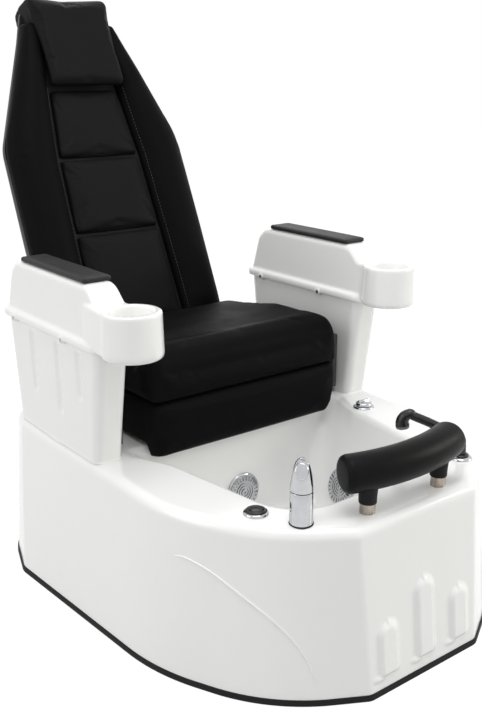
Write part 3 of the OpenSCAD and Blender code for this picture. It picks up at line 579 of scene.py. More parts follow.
@dataclass(frozen=True)
class Plywood(Finish):
    """Birch plywood: long pale grain on the faces and thin plies along the edges."""

    ring: float = 26.0  # spacing of the bands, in millimetres

    def shade(
        self, tree: bpy.types.NodeTree, spot: bpy.types.NodeSocket, drift: bpy.types.NodeSocket
    ) -> bpy.types.NodeSocket:
        """Bands of early and late wood, drawn out along the board.

        Args:
            tree: The material's node tree.
            spot: The place on the piece.
            drift: The drift, which the bands stand in for; not used.

        Returns:
            The colour's socket.
        """
        drawn = node(tree, "ShaderNodeMapping", {"Vector": spot, "Scale": (1.0, 1.0, 0.12)})
        rings = node(tree, "ShaderNodeTexWave",
                     {"Vector": drawn.outputs["Vector"], "Scale": per(self.ring) / 3, "Distortion": 9.0,
                      "Detail": 3.0})
        return super().shade(tree, spot, rings.outputs["Fac"])


# Cast glass fibre with a white gel coat: bright, glassy, and never quite flat
GEL_COAT = GelCoat("gel_coat_white", "#f7f7f6", "#f3f3f1", 0.2, 0.05, 160.0, coat=0.35, coat_roughness=0.06,
                   grain=3.2, relief=0.035)
# Rubber extrusion: matt black with a slight bloom
RUBBER = Finish("extruded_rubber_black", "#101010", "#1a1a1a", 0.62, specular=0.2, grain=0.8, relief=0.05)
# Vinyl-coated fabric: black with a satin sheen and a leather grain
UPHOLSTERY = CoatedFabric("coated_fabric_black", "#0f0f10", "#131314", 0.46, 0.06, 70.0, specular=0.02,
                          grain=0.6, relief=0.28)
# The same cover drawn tight over foam: a little smoother and greyer
PANEL_COVER = CoatedFabric("coated_fabric_panel", "#161616", "#1a1a1b", 0.5, 0.05, 70.0, specular=0.05,
                           grain=0.6, relief=0.2, crease_depth=0.8)
# Self-skinned polyurethane foam: charcoal, matt, with a fine moulded grain
SKINNED_FOAM = CoatedFabric("skinned_foam_charcoal", "#252526", "#2c2c2d", 0.5, 0.05, 50.0, specular=0.2,
                            grain=0.7, relief=0.12, crease_depth=0.2)
# The footrest's stretched vinyl: black, with a satin sheen and hardly a crease
ROLL_COVER = CoatedFabric("roll_cover_black", "#101010", "#171717", 0.36, 0.05, 40.0, specular=0.07,
                          grain=0.6, relief=0.12, crease_depth=0.6)
# Bonded polyester thread: dark grey and dull
THREAD = Finish("bonded_thread_black", "#2a2a2b", "#343435", 0.5, grain=0.5, relief=0.1)
# Chromium plate over polished brass: a clear mirror with faint water marks
CHROME = Finish("chrome_plate", "#c9cacc", "#b5b8bb", 0.07, 0.04, 18.0, metallic=1.0, grain=6.0, relief=0.01)
# Turned stainless steel: warm, with rings
TURNED_STEEL = BrushedMetal("turned_stainless", "#b9b0a4", "#8f867b", 0.3, 0.08, 14.0, metallic=1.0,
                            relief=0.05)
# Bright zinc plate on steel: pale, mottled
ZINC = Finish("zinc_plate", "#b9bcbf", "#9da1a6", 0.36, 0.1, 22.0, metallic=1.0, grain=1.6, relief=0.02)
# Powder coat on steel: dark grey, satin, with a fine texture
POWDER_COAT = Finish("powder_coat_grey", "#3b3c3d", "#4a4b4c", 0.5, 0.06, 30.0, grain=0.9, relief=0.08)
# Moulded glass-filled nylon: black, with an even sheen
BLACK_PLASTIC = Finish("moulded_nylon_black", "#121213", "#1b1b1c", 0.3, 0.06, 26.0, grain=0.8, relief=0.03)
# Moulded ABS: mid grey, satin
GREY_PLASTIC = Finish("moulded_abs_grey", "#77797b", "#818385", 0.42, 0.06, 40.0, grain=0.9, relief=0.05)
# Extruded PVC pipe: off-white, smooth
PIPE_PLASTIC = Finish("pvc_pipe_white", "#dcdcd6", "#e6e6e1", 0.32, 0.05, 60.0, grain=1.4, relief=0.02)
# Near-black sheet behind the seams between the panels: painted shade in the gaps, black and dull
PAINTED_SEAM_SHADE = Finish("painted_seam_shade_black", "#070707", "#0c0c0c", 0.9, grain=1.2, relief=0.05)
# Birch plywood, unvarnished: pale, with darker bands
PLY = Plywood("birch_plywood", "#c9a877", "#ab8654", 0.55, 0.06, 80.0, grain=1.5, relief=0.06)


class Body(Enum):
    """The bodies of the chair that pieces ride on."""

    BASE = "base"
    SEAT = "seat"
    BACK = "back"
    FOOTREST = "footrest"
    MIXER_CAP = "mixer_cap"
    MIXER_LEVER = "mixer_lever"
    SPRAY = "hand_spray"
    BUTTON = "air_button"
    KNOB = "drain_knob"


class Side(Enum):
    """The two arms and bolsters, by the sign of their place across the chair."""

    LEFT = -1
    RIGHT = 1

    @property
    def label(self) -> str:
        """The side's name in a piece's name."""
        return self.name.lower()


# ---------- making pieces ----------


def piece(
    name: str,
    mesh: bmesh.types.BMesh,
    finish: Finish,
    body: Body,
    slot: str,
    *replaced: str,
    sharp: float = 38.0,
) -> bpy.types.Object:
    """Turns a mesh into a finished piece that rides on a body.

    Args:
        name: The piece's name.
        mesh: Its mesh in metres, which is freed.
        finish: Its finish.
        body: The body that it moves with.
        slot: The material slot that it stands for; not used.
        replaced: The CAD nodes that it stands for.
        sharp: The angle in degrees above which an edge shows as a crease.

    Returns:
        The object.
    """
    bmesh.ops.remove_doubles(mesh, verts=mesh.verts, dist=1e-6)
    bmesh.ops.recalc_face_normals(mesh, faces=mesh.faces)
    crease(mesh, sharp)
    data = bpy.data.meshes.new(name)
    mesh.to_mesh(data)
    mesh.free()
    made = bpy.data.objects.new(name, data)
    bpy.context.scene.collection.objects.link(made)
    data.materials.append(finish.material())
    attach(made, body.value)
    if replaced:
        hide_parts(*replaced)
    LOG.info("%s: %d faces on %s", name, len(data.polygons), body.value)
    return made


def crease(mesh: bmesh.types.BMesh, sharp: float) -> None:
    """Shades a mesh smooth, apart from its sharp edges.

    Args:
        mesh: The mesh.
        sharp: The angle in degrees above which an edge shows.
    """
    for face in mesh.faces:
        face.smooth = True
    for edge in mesh.edges:
        edge.smooth = edge.calc_face_angle(0.0) < math.radians(sharp)


def bake(made: bpy.types.Object) -> None:
    """Applies a piece's modifiers to its mesh.

    Args:
        made: The piece, which loses its modifiers.
    """
    graph = bpy.context.evaluated_depsgraph_get()
    graph.update()
    fresh = bpy.data.meshes.new_from_object(made.evaluated_get(graph))
    made.modifiers.clear()
    old, made.data = made.data, fresh
    name = old.name
    bpy.data.meshes.remove(old)
    fresh.name = name


def remesh(made: bpy.types.Object, voxel: float, rounds: int = 0) -> None:
    """Rebuilds a piece as one even skin.

    Args:
        made: The piece.
        voxel: The size of the new faces, in millimetres.
        rounds: How often the skin is relaxed afterwards.
    """
    change = made.modifiers.new("Skin", "REMESH")
    change.mode = "VOXEL"
    change.voxel_size = voxel * MM
    change.use_smooth_shade = True
    bake(made)
    if rounds:
        reshape(made, lambda mesh: relax(mesh, rounds))


def relax(mesh: bmesh.types.BMesh, rounds: int) -> None:
    """Evens out a mesh, rounds times over."""
    for _ in range(rounds):
        bmesh.ops.smooth_vert(mesh, verts=mesh.verts, factor=0.5, use_axis_x=True, use_axis_y=True,
                              use_axis_z=True)


def reshape(
    made: bpy.types.Object, change: Callable[[bmesh.types.BMesh], object], sharp: float = 180.0
) -> None:
    """Edits a piece's mesh.

    Args:
        made: The piece.
        change: Edits the bmesh that it is given.
        sharp: The angle in degrees above which an edge then shows as a crease.
    """
    mesh = bmesh.new()
    mesh.from_mesh(made.data)
    change(mesh)
    crease(mesh, sharp)
    mesh.to_mesh(made.data)
    mesh.free()


def cut(made: bpy.types.Object, cutter: bmesh.types.BMesh, sharp: float = 44.0) -> None:
    """Takes a closed mesh away from a piece.

    Args:
        made: The piece.
        cutter: The mesh to take away, which is freed.
        sharp: The angle in degrees above which an edge then shows as a crease.
    """
    data = bpy.data.meshes.new("cutter")
    cutter.to_mesh(data)
    cutter.free()
    tool = bpy.data.objects.new("cutter", data)
    bpy.context.scene.collection.objects.link(tool)
    change = made.modifiers.new("Cut", "BOOLEAN")
    change.operation = "DIFFERENCE"
    change.solver = "EXACT"
    change.object = tool
    bake(made)
    bpy.data.objects.remove(tool)
    reshape(made, lambda mesh: None, sharp)


@dataclass(frozen=True)
class Stuffing:
    """How a cushion is filled: the pressure under its cover, and how far the cover may move."""

    swell: float = 12.0  # how far the cover may move, in millimetres
    voxel: float = 5.0  # size of the cover's faces, in millimetres
    pressure: float = 4.0
    frames: int = 20
    fill: float = 0.7  # how full the finished cushion counts as

    def apply(self, made: bpy.types.Object, held: Callable[[Vector], bool]) -> None:
        """Stuffs a piece as cloth under pressure.

        Args:
            made: The piece.
            held: Tells whether a point, in metres, is fixed to what carries the piece.
        """
        remesh(made, self.voxel)
        pinned = made.vertex_groups.new(name="held")
        pinned.add([v.index for v in made.data.vertices if held(v.co)], 1.0, "REPLACE")
        cloth = made.modifiers.new("Cover", "CLOTH")
        cloth.settings.use_pressure = True
        cloth.settings.uniform_pressure_force = self.pressure
        cloth.settings.effector_weights.gravity = 0.0
        cloth.settings.quality = 4
        cloth.settings.vertex_group_mass = "held"
        cloth.collision_settings.use_collision = False
        cloth.point_cache.frame_start = 1
        cloth.point_cache.frame_end = self.frames
        scene = bpy.context.scene
        for step in range(1, self.frames + 1):
            scene.frame_set(step)
        graph = bpy.context.evaluated_depsgraph_get()
        result = made.evaluated_get(graph).to_mesh()
        limit = self.swell * MM
        moves = []
        for before, after in zip(made.data.vertices, result.vertices):
            step = after.co - before.co
            moves.append(before.co + step * min(1.0, limit / max(step.length, 1e-9)))
        made.evaluated_get(graph).to_mesh_clear()
        made.modifiers.clear()
        made.vertex_groups.clear()
        scene.frame_set(1)
        for vert, spot in zip(made.data.vertices, moves):
            vert.co = spot


def subdivided(made: bpy.types.Object, levels: int = 1) -> None:
    """Adds a subdivision surface to a piece.

    Args:
        made: The piece.
        levels: How often its faces are divided.
    """
    change = made.modifiers.new("Subdivision", "SUBSURF")
    change.levels = levels
    change.render_levels = levels


def stitches(
    name: str, target: bpy.types.Object, path: Sequence[Vector], aim: Vector, body: Body, pitch: float = 9.0
) -> bpy.types.Object:
    """Sews a row of stitches on a cover.

    Args:
        name: The row's name.
        target: The piece that is sewn.
        path: Points near the row, in metres.
        aim: The direction from the path to the cover.
        body: The body that the row moves with.
        pitch: The distance from one stitch to the next, in millimetres.

    Returns:
        The row, as one piece.
    """
    graph = bpy.context.evaluated_depsgraph_get()
    tree = BVHTree.FromObject(target, graph)
    hits = [hit for hit, _, _, _ in (tree.ray_cast(p, aim) for p in path) if hit]
    total = sum((b - a).length for a, b in zip(hits, hits[1:]))
    count = max(1, int(total / (pitch * MM)))
    spots, walked, index = [], 0.0, 0
    for k in range(2 * count):
        goal = total * (k + 0.5) / (2 * count)
        while index < len(hits) - 2 and walked + (hits[index + 1] - hits[index]).length < goal:
            walked += (hits[index + 1] - hits[index]).length
            index += 1
        part = (goal - walked) / max((hits[index + 1] - hits[index]).length, 1e-9)
        spots.append(hits[index].lerp(hits[index + 1], part))
    parts = []
    for start, end in zip(spots[::2], spots[1::2]):
        run = end - start
        mid = (start + end) / 2 - aim * 0.5 * MM
        lift = aim * 0.35 * MM  # the thread stands proud between its ends, which sink into the cover
        points = [start + run * -0.12, start - lift, mid, end - lift, end + run * 0.12]
        parts.append(swept(points, [0.3, 0.75, 0.85, 0.75, 0.3], 6))
    return piece(name, joined(*parts), THREAD, body, "upholstery")


# ---------- studio ----------


@dataclass
class Studio:
    """The camera, the lights, a white surround and a pale floor."""

    eye: Vector = Vector((-1.27556, -1.78134, 1.15889))  # the camera's place, in metres
    aim: Vector = Vector((0.58385, 0.75691, -0.29361))  # the direction that it looks in
    lens: float = 47.54  # focal length and sensor width, in millimetres
    sensor: float = 36.0
    far: float = 50.0  # as far as the camera sees, in metres
    surround: float = 0.69  # how strongly the surround lights, against 1 where it is seen
    floor_half: float = 14.0  # half the width of the floor, in metres
    floor_paint: str = "#b6b6b5"
    floor_glow: float = 1.7  # brings the floor's tone up to the surround's where it is seen

    def build(self) -> None:
        """Sets up the studio."""
        self.camera()
        self.world()
        self.lamp("key", Vector((-0.3, -0.9, 3.6)), Vector((0, -0.1, 0.4)), 2.0, 43.0)
        self.lamp("front", Vector((3.7, -2.5, 1.9)), Vector((0, -0.3, 0.3)), 1.6, 56.0, warmth=0.07)
        self.lamp("side", Vector((-3.4, 0.6, 2.2)), Vector((0, 0.0, 0.4)), 2.0, 27.0)
        self.lamp("rear", Vector((1.6, 2.9, 2.6)), Vector((0, 0.2, 0.7)), 2.2, 16.0)
        self.floor()
        scene = bpy.context.scene
        scene.view_settings.view_transform = "Standard"
        LOG.info("studio: camera, four lamps, surround and floor")

    def camera(self) -> None:
        """Places the camera."""
        data = bpy.data.cameras.new("camera")
        data.lens = self.lens
        data.sensor_width = self.sensor
        data.sensor_fit = "AUTO"
        data.clip_end = self.far
        made = bpy.data.objects.new("camera", data)
        made.location = self.eye
        made.rotation_mode = "QUATERNION"
        made.rotation_quaternion = self.aim.to_track_quat("-Z", "Y")
        bpy.context.scene.collection.objects.link(made)
        bpy.context.scene.camera = made

    def lamp(
        self, name: str, spot: Vector, target: Vector, size: float, power: float, warmth: float = 0.0
    ) -> None:
        """Adds one square soft box.

        Args:
            name: The lamp's name.
            spot: Its place, in metres.
            target: The point that it looks at.
            size: Its width, in metres.
            power: Its power, in watts.
            warmth: How much of its blue is missing, from 0 to 1.
        """
        data = bpy.data.lights.new(name, "AREA")
        data.shape = "SQUARE"
        data.size = size
        data.energy = power
        data.color = (1.0, 1.0, 1.0 - warmth)
        made = bpy.data.objects.new(name, data)
        made.location = spot
        made.rotation_mode = "QUATERNION"
        made.rotation_quaternion = (target - spot).to_track_quat("-Z", "Y")
        bpy.context.scene.collection.objects.link(made)

    def shown(self, tree: bpy.types.NodeTree) -> bpy.types.NodeSocket:
        """Tells the rays that see the surround from those that it lights with.

        Args:
            tree: The node tree of the world or of the floor's paint.

        Returns:
            A socket that is 1 for what is seen directly, in a mirror or through glass, and else 0.
        """
        path = node(tree, "ShaderNodeLightPath")
        first = node(tree, "ShaderNodeMath",
                     {0: path.outputs["Is Camera Ray"], 1: path.outputs["Is Glossy Ray"]},
                     operation="MAXIMUM")
        either = node(tree, "ShaderNodeMath",
                      {0: first.outputs[0], 1: path.outputs["Is Transmission Ray"]}, operation="MAXIMUM")
        return either.outputs[0]

    def world(self) -> None:
        """A white surround that lights the chair at a lower level."""
        made = bpy.data.worlds.new("surround")
        made.use_nodes = True
        tree = made.node_tree
        back = tree.nodes["Background"]
        back.inputs["Color"].default_value = (1, 1, 1, 1)
        strength = node(tree, "ShaderNodeMapRange",
                        {"Value": self.shown(tree), "To Min": self.surround, "To Max": 1.0})
        tree.links.new(strength.outputs["Result"], back.inputs["Strength"])
        bpy.context.scene.world = made

    def floor(self) -> None:
        """A pale floor that keeps the chair's shadow."""
        mesh = bmesh.new()
        bmesh.ops.create_grid(mesh, x_segments=1, y_segments=1, size=self.floor_half)
        data = bpy.data.meshes.new("studio_floor")
        mesh.to_mesh(data)
        mesh.free()
        made = bpy.data.objects.new("studio_floor", data)
        bpy.context.scene.collection.objects.link(made)
        paint = bpy.data.materials.new("studio_floor_paint")
        paint.use_nodes = True
        tree = paint.node_tree
        shader = tree.nodes["Principled BSDF"]
        shader.inputs["Base Color"].default_value = colour(self.floor_paint)
        shader.inputs["Roughness"].default_value = 0.9
        shader.inputs["Specular IOR Level"].default_value = 0.0
        glow = node(tree, "ShaderNodeEmission", {"Color": (1, 1, 1, 1), "Strength": self.floor_glow})
        share = node(tree, "ShaderNodeMath", {0: self.shown(tree), 1: 0.5}, operation="MULTIPLY")
        blend = node(tree, "ShaderNodeMixShader",
                     {0: share.outputs[0], 1: shader.outputs[0], 2: glow.outputs[0]})
        tree.links.new(blend.outputs[0], tree.nodes["Material Output"].inputs["Surface"])
        data.materials.append(paint)


# ---------- the base ----------


@dataclass
class BaseMoulding:
    """The one-piece base: a ribbed, creased outer wall, a flat deck and a deep basin."""

    edge: float = 20.0  # rounding of the deck's edge
    wall: float = 6.0
    rim: float = 14.0  # rounding of the basin's rim
    basin_floor: float = 95.0
    shelf: float = 290.0  # height of the shelf in the basin's wall
    foot: float = 6.0
    rib_proud: float = 8.0
    rib_low: float = 40.0  # height of the ribs' lower ends
    rib_flat: float = 15.0  # half-width of a rib's flat face
    rib_left: float = 29.0  # from its middle to the foot of its left flank
    rib_right: float = 36.0
    rib_dome: float = 30.0  # from the top of a rib to the middle of its dome
    ledge_proud: float = 4.0
    # Right halves of outlines, from front to rear: the wall at the floor and at the deck
    floor_half: ClassVar[Pairs] = [(152, 0), (324, 95), (434, 322), (467, 852), (427, 974), (300, 1122)]
    deck_half: ClassVar[Pairs] = [(165, 40), (305, 133), (400, 315), (408, 940), (385, 1010), (290, 1090)]
    floor_radii: ClassVar[list[float]] = [30, 380, 470, 60, 160, 100]
    deck_radii: ClassVar[list[float]] = [34, 370, 380, 80, 100, 80]
    steps: ClassVar[list[int]] = [10, 26, 26, 8, 10, 10]
    spans: ClassVar[list[int]] = [6, 10, 34, 8, 12, 30]
    front_span: int = 120  # faces along the ribbed front
    # and the basin at its rim, at its shelf and at its floor
    rim_half: ClassVar[Pairs] = [(218, 158), (266, 500), (308, 590), (303, 613)]
    shelf_half: ClassVar[Pairs] = [(208, 172), (252, 490), (266, 575), (238, 606)]
    low_half: ClassVar[Pairs] = [(178, 200), (196, 440), (204, 540), (150, 594)]
    rim_radii: ClassVar[list[float]] = [110, 90, 12, 8]
    shelf_radii: ClassVar[list[float]] = [105, 90, 45, 30]
    low_radii: ClassVar[list[float]] = [80, 80, 40, 40]
    ribs: ClassVar[Pairs] = [(-103, 150), (0, 206), (101, 154)]  # the middle and the top of each
    # Depth and height of points on the raised line
    crease_line: ClassVar[Pairs] = [(304, 260), (274, 263), (225, 248), (175, 218), (130, 182), (96, 142),
                                    (72, 96), (57, 46)]

    def wall_ring(self, height: float, inward: float) -> list[Vector]:
        """The outline of the outer wall, in millimetres.

        Args:
            height: The height above the floor.
            inward: How far the outline is moved inwards.

        Returns:
            The points of the outline.
        """
        t = height / DECK
        half = [(mix(a[0], b[0], t), mix(a[1], b[1], t)) for a, b in zip(self.floor_half, self.deck_half)]
        radii = [max(4.0, mix(a, b, t) - inward) for a, b in zip(self.floor_radii, self.deck_radii)]
        spans = self.spans + list(reversed(self.spans[:-1])) + [self.front_span]
        return rounded(inset(both_sides(half), inward), both(radii), both(self.steps), spans)

    def basin_ring(self, height: float, outward: float) -> list[Vector]:
        """The outline of the basin, in millimetres.

        Args:
            height: The height above the floor.
            outward: How far the outline is moved outwards.

        Returns:
            The points of the outline.
        """
        upper = height > self.shelf
        low, high = (self.shelf_half, self.rim_half) if upper else (self.low_half, self.shelf_half)
        low_r, high_r = (self.shelf_radii, self.rim_radii) if upper else (self.low_radii, self.shelf_radii)
        start, end = (self.shelf, DECK) if upper else (self.basin_floor, self.shelf)
        t = (height - start) / (end - start)
        half = [(mix(a[0], b[0], t), mix(a[1], b[1], t)) for a, b in zip(low, high)]
        turn = [1, -1, 1, 1]  # the second corner is a hollow one
        radii = [max(2.0, mix(a, b, t) + s * outward) for a, b, s in zip(low_r, high_r, turn)]
        return rounded(
            inset(both_sides(half), -outward), both(radii), both([14, 12, 8, 8]), both([16, 6, 3, 20])
        )

    def rib(self, across: float, height: float) -> float:
        """How far the front stands out at a place, in millimetres.

        Each of the three ribs has a flat face, a steep left flank and a softer right one, a domed top,
        and a low ledge at its lower left.

        Args:
            across: The distance from the middle of the chair.
            height: The height above the floor.

        Returns:
            The distance from the plain wall.
        """
        proud = 0.0
        for centre, top in self.ribs:
            side = across - centre
            foot = self.rib_left if side < 0 else self.rib_right
            off = math.hypot(side, max(0.0, height - top + self.rib_dome))
            face = (1 - smooth(self.rib_flat, foot, off)) * smooth(self.rib_low - 6, self.rib_low + 6, height)
            ledge = math.hypot((side + 24) / 24, (height - self.rib_low + 3) / 10)
            proud = max(proud, self.rib_proud * face, self.ledge_proud * (1 - smooth(0.15, 1.0, ledge)))
        return proud

    def placed(self, ring: Sequence[Vector], height: float, ribbed: bool = False) -> list[Vector]:
        """A ring in the part's frame.

        Args:
            ring: The points of the ring, in millimetres.
            height: The height above the floor.
            ribbed: Whether the ribs are pressed out of its front.

        Returns:
            The points, in metres.
        """
        limit = self.floor_half[0][0] - 4
        result = []
        for p in ring:
            pressed = ribbed and p.y < 60 and abs(p.x) < limit
            result.append(place(p.x, p.y - (self.rib(p.x, height) if pressed else 0), height))
        return result

    def build(self) -> None:
        """Makes the moulding and its two raised creases."""
        mesh = bmesh.new()
        outer = self.outer_wall(mesh)
        inner, under = self.basin(mesh)
        for pair in ((outer[0], inner), (outer[1], under)):
            edges = [e for skin, verts in pair for e in skin.edges(verts)]
            bmesh.ops.triangle_fill(mesh, edges=edges, use_beauty=True, use_dissolve=False)
        piece("base_moulding", mesh, GEL_COAT, Body.BASE, "shell", "base_shell", "foot_basin", sharp=50.0)
        for side in Side:
            self.crease(side)

    def outer_wall(self, mesh: bmesh.types.BMesh) -> tuple:
        """Grows the wall from the deck down its outside, round its foot and up its inside.

        Args:
            mesh: The moulding's mesh.

        Returns:
            The skin with its loop on the deck, and the skin with its loop under the deck.
        """
        angles = [math.radians(a) for a in (90, 78, 66, 54, 42, 30, 18, 9, 0)]
        deck = Skin(self.placed(self.wall_ring(DECK, self.edge + 4), DECK), mesh)
        top = deck.verts
        for a in angles:
            height = DECK - self.edge + self.edge * math.sin(a)
            deck.grow(self.placed(self.wall_ring(height, self.edge * (1 - math.cos(a))), height))
        height = DECK - self.edge - 4
        while height > self.foot:
            deck.grow(self.placed(self.wall_ring(height, 0), height, ribbed=True))
            height -= 3.2 if height < 230 else 8.0
        under = DECK - self.wall
        for height, inward in ((self.foot, 0), (self.foot, self.wall), (160, self.wall), (under, self.wall),
                               (under, self.wall + 4)):
            deck.grow(self.placed(self.wall_ring(height, inward), height))
        return (deck, top), (deck, deck.verts)

    def basin(self, mesh: bmesh.types.BMesh) -> tuple:
        """Grows the basin's inside from its floor to the rim, and its outside up to the deck's underside.

        Args:
            mesh: The moulding's mesh.

        Returns:
            The inner skin with its loop on the deck, and the outer one with its loop under the deck.
        """
        rings = [(self.basin_floor, -40.0)]
        rings += [(self.basin_floor + 30 * (1 - math.cos(a)), -30 * (1 - math.sin(a))) for a in quarter()]
        rings += [(mix(self.basin_floor + 30, self.shelf, k / 14), 0.0) for k in range(1, 15)]
        rings += [(mix(self.shelf, DECK - self.rim, k / 5), 0.0) for k in range(1, 5)]
        edge = DECK - self.rim
        rings += [(edge + self.rim * math.sin(a), self.rim * (1 - math.cos(a))) for a in quarter(8)]
        rings.append((DECK, self.rim + 5))
        skin = Skin(self.placed(self.basin_ring(*rings[0]), rings[0][0]), mesh)
        skin.cap()
        for height, outward in rings[1:]:
            skin.grow(self.placed(self.basin_ring(height, outward), height))
        below = [(self.basin_floor - self.wall, -8), (self.basin_floor + 26, 5), (self.shelf, 5),
                 (DECK - 22, 6), (DECK - self.wall, 12)]
        under = Skin(self.placed(self.basin_ring(*below[0]), below[0][0]), mesh)
        under.cap()
        for height, outward in below[1:]:
            under.grow(self.placed(self.basin_ring(height, outward), height))
        return (skin, skin.verts), (under, under.verts)

    def wall_point(self, depth: float, height: float) -> Vector:
        """A point of the right-hand outer wall, in millimetres.

        Args:
            depth: The distance behind the front of the base.
            height: The height above the floor.

        Returns:
            The point, across the chair and behind its front.
        """
        ring = [p for p in self.wall_ring(height, 0) if p.x > 0]
        a, b = next((a, b) for a, b in zip(ring, ring[1:]) if a.y <= depth < b.y)
        return a.lerp(b, (depth - a.y) / (b.y - a.y))

    def crease(self, side: Side) -> None:
        """Lays the raised line that sweeps down the side to the kick strip.

        Args:
            side: The side of the chair.
        """
        path = curve_through([Vector(p) for p in self.crease_line], 12)
        last = len(path) - 1
        radii = [0.6 + 1.9 * math.sin(math.pi * (i + 2) / (last + 4)) ** 0.5 for i in range(last + 1)]
        line = [place(self.wall_point(p.x, p.y).x * side.value, p.x, p.y) for p in path]
        piece(f"crease_{side.label}", swept(line, radii, 10), GEL_COAT, Body.BASE, "shell")


@dataclass
class KickStrip:
    """The rubber strip round the foot of the base."""

    height: float = 13.0
    proud: float = KICK_PROUD

    def build(self, base: BaseMoulding) -> None:
        """Makes the strip.

        Args:
            base: The moulding that it runs round.
        """
        high, proud, inner = self.height, self.proud, base.wall + 4
        section = [(-0.3, high), (-1.8, high - 0.4), (-proud, high - 2.4), (-proud, 2.0), (-1.6, 0.3),
                   (inner, 0.0), (inner, high - 4), (2.0, high - 3)]
        rings = [level(base.wall_ring(max(0.0, z), inward), z) for inward, z in section]
        piece("kick_strip_band", loft(rings, closed=True), RUBBER, Body.BASE, "rubber", "kick_strip",
              sharp=32.0)


# ---------- the arms ----------


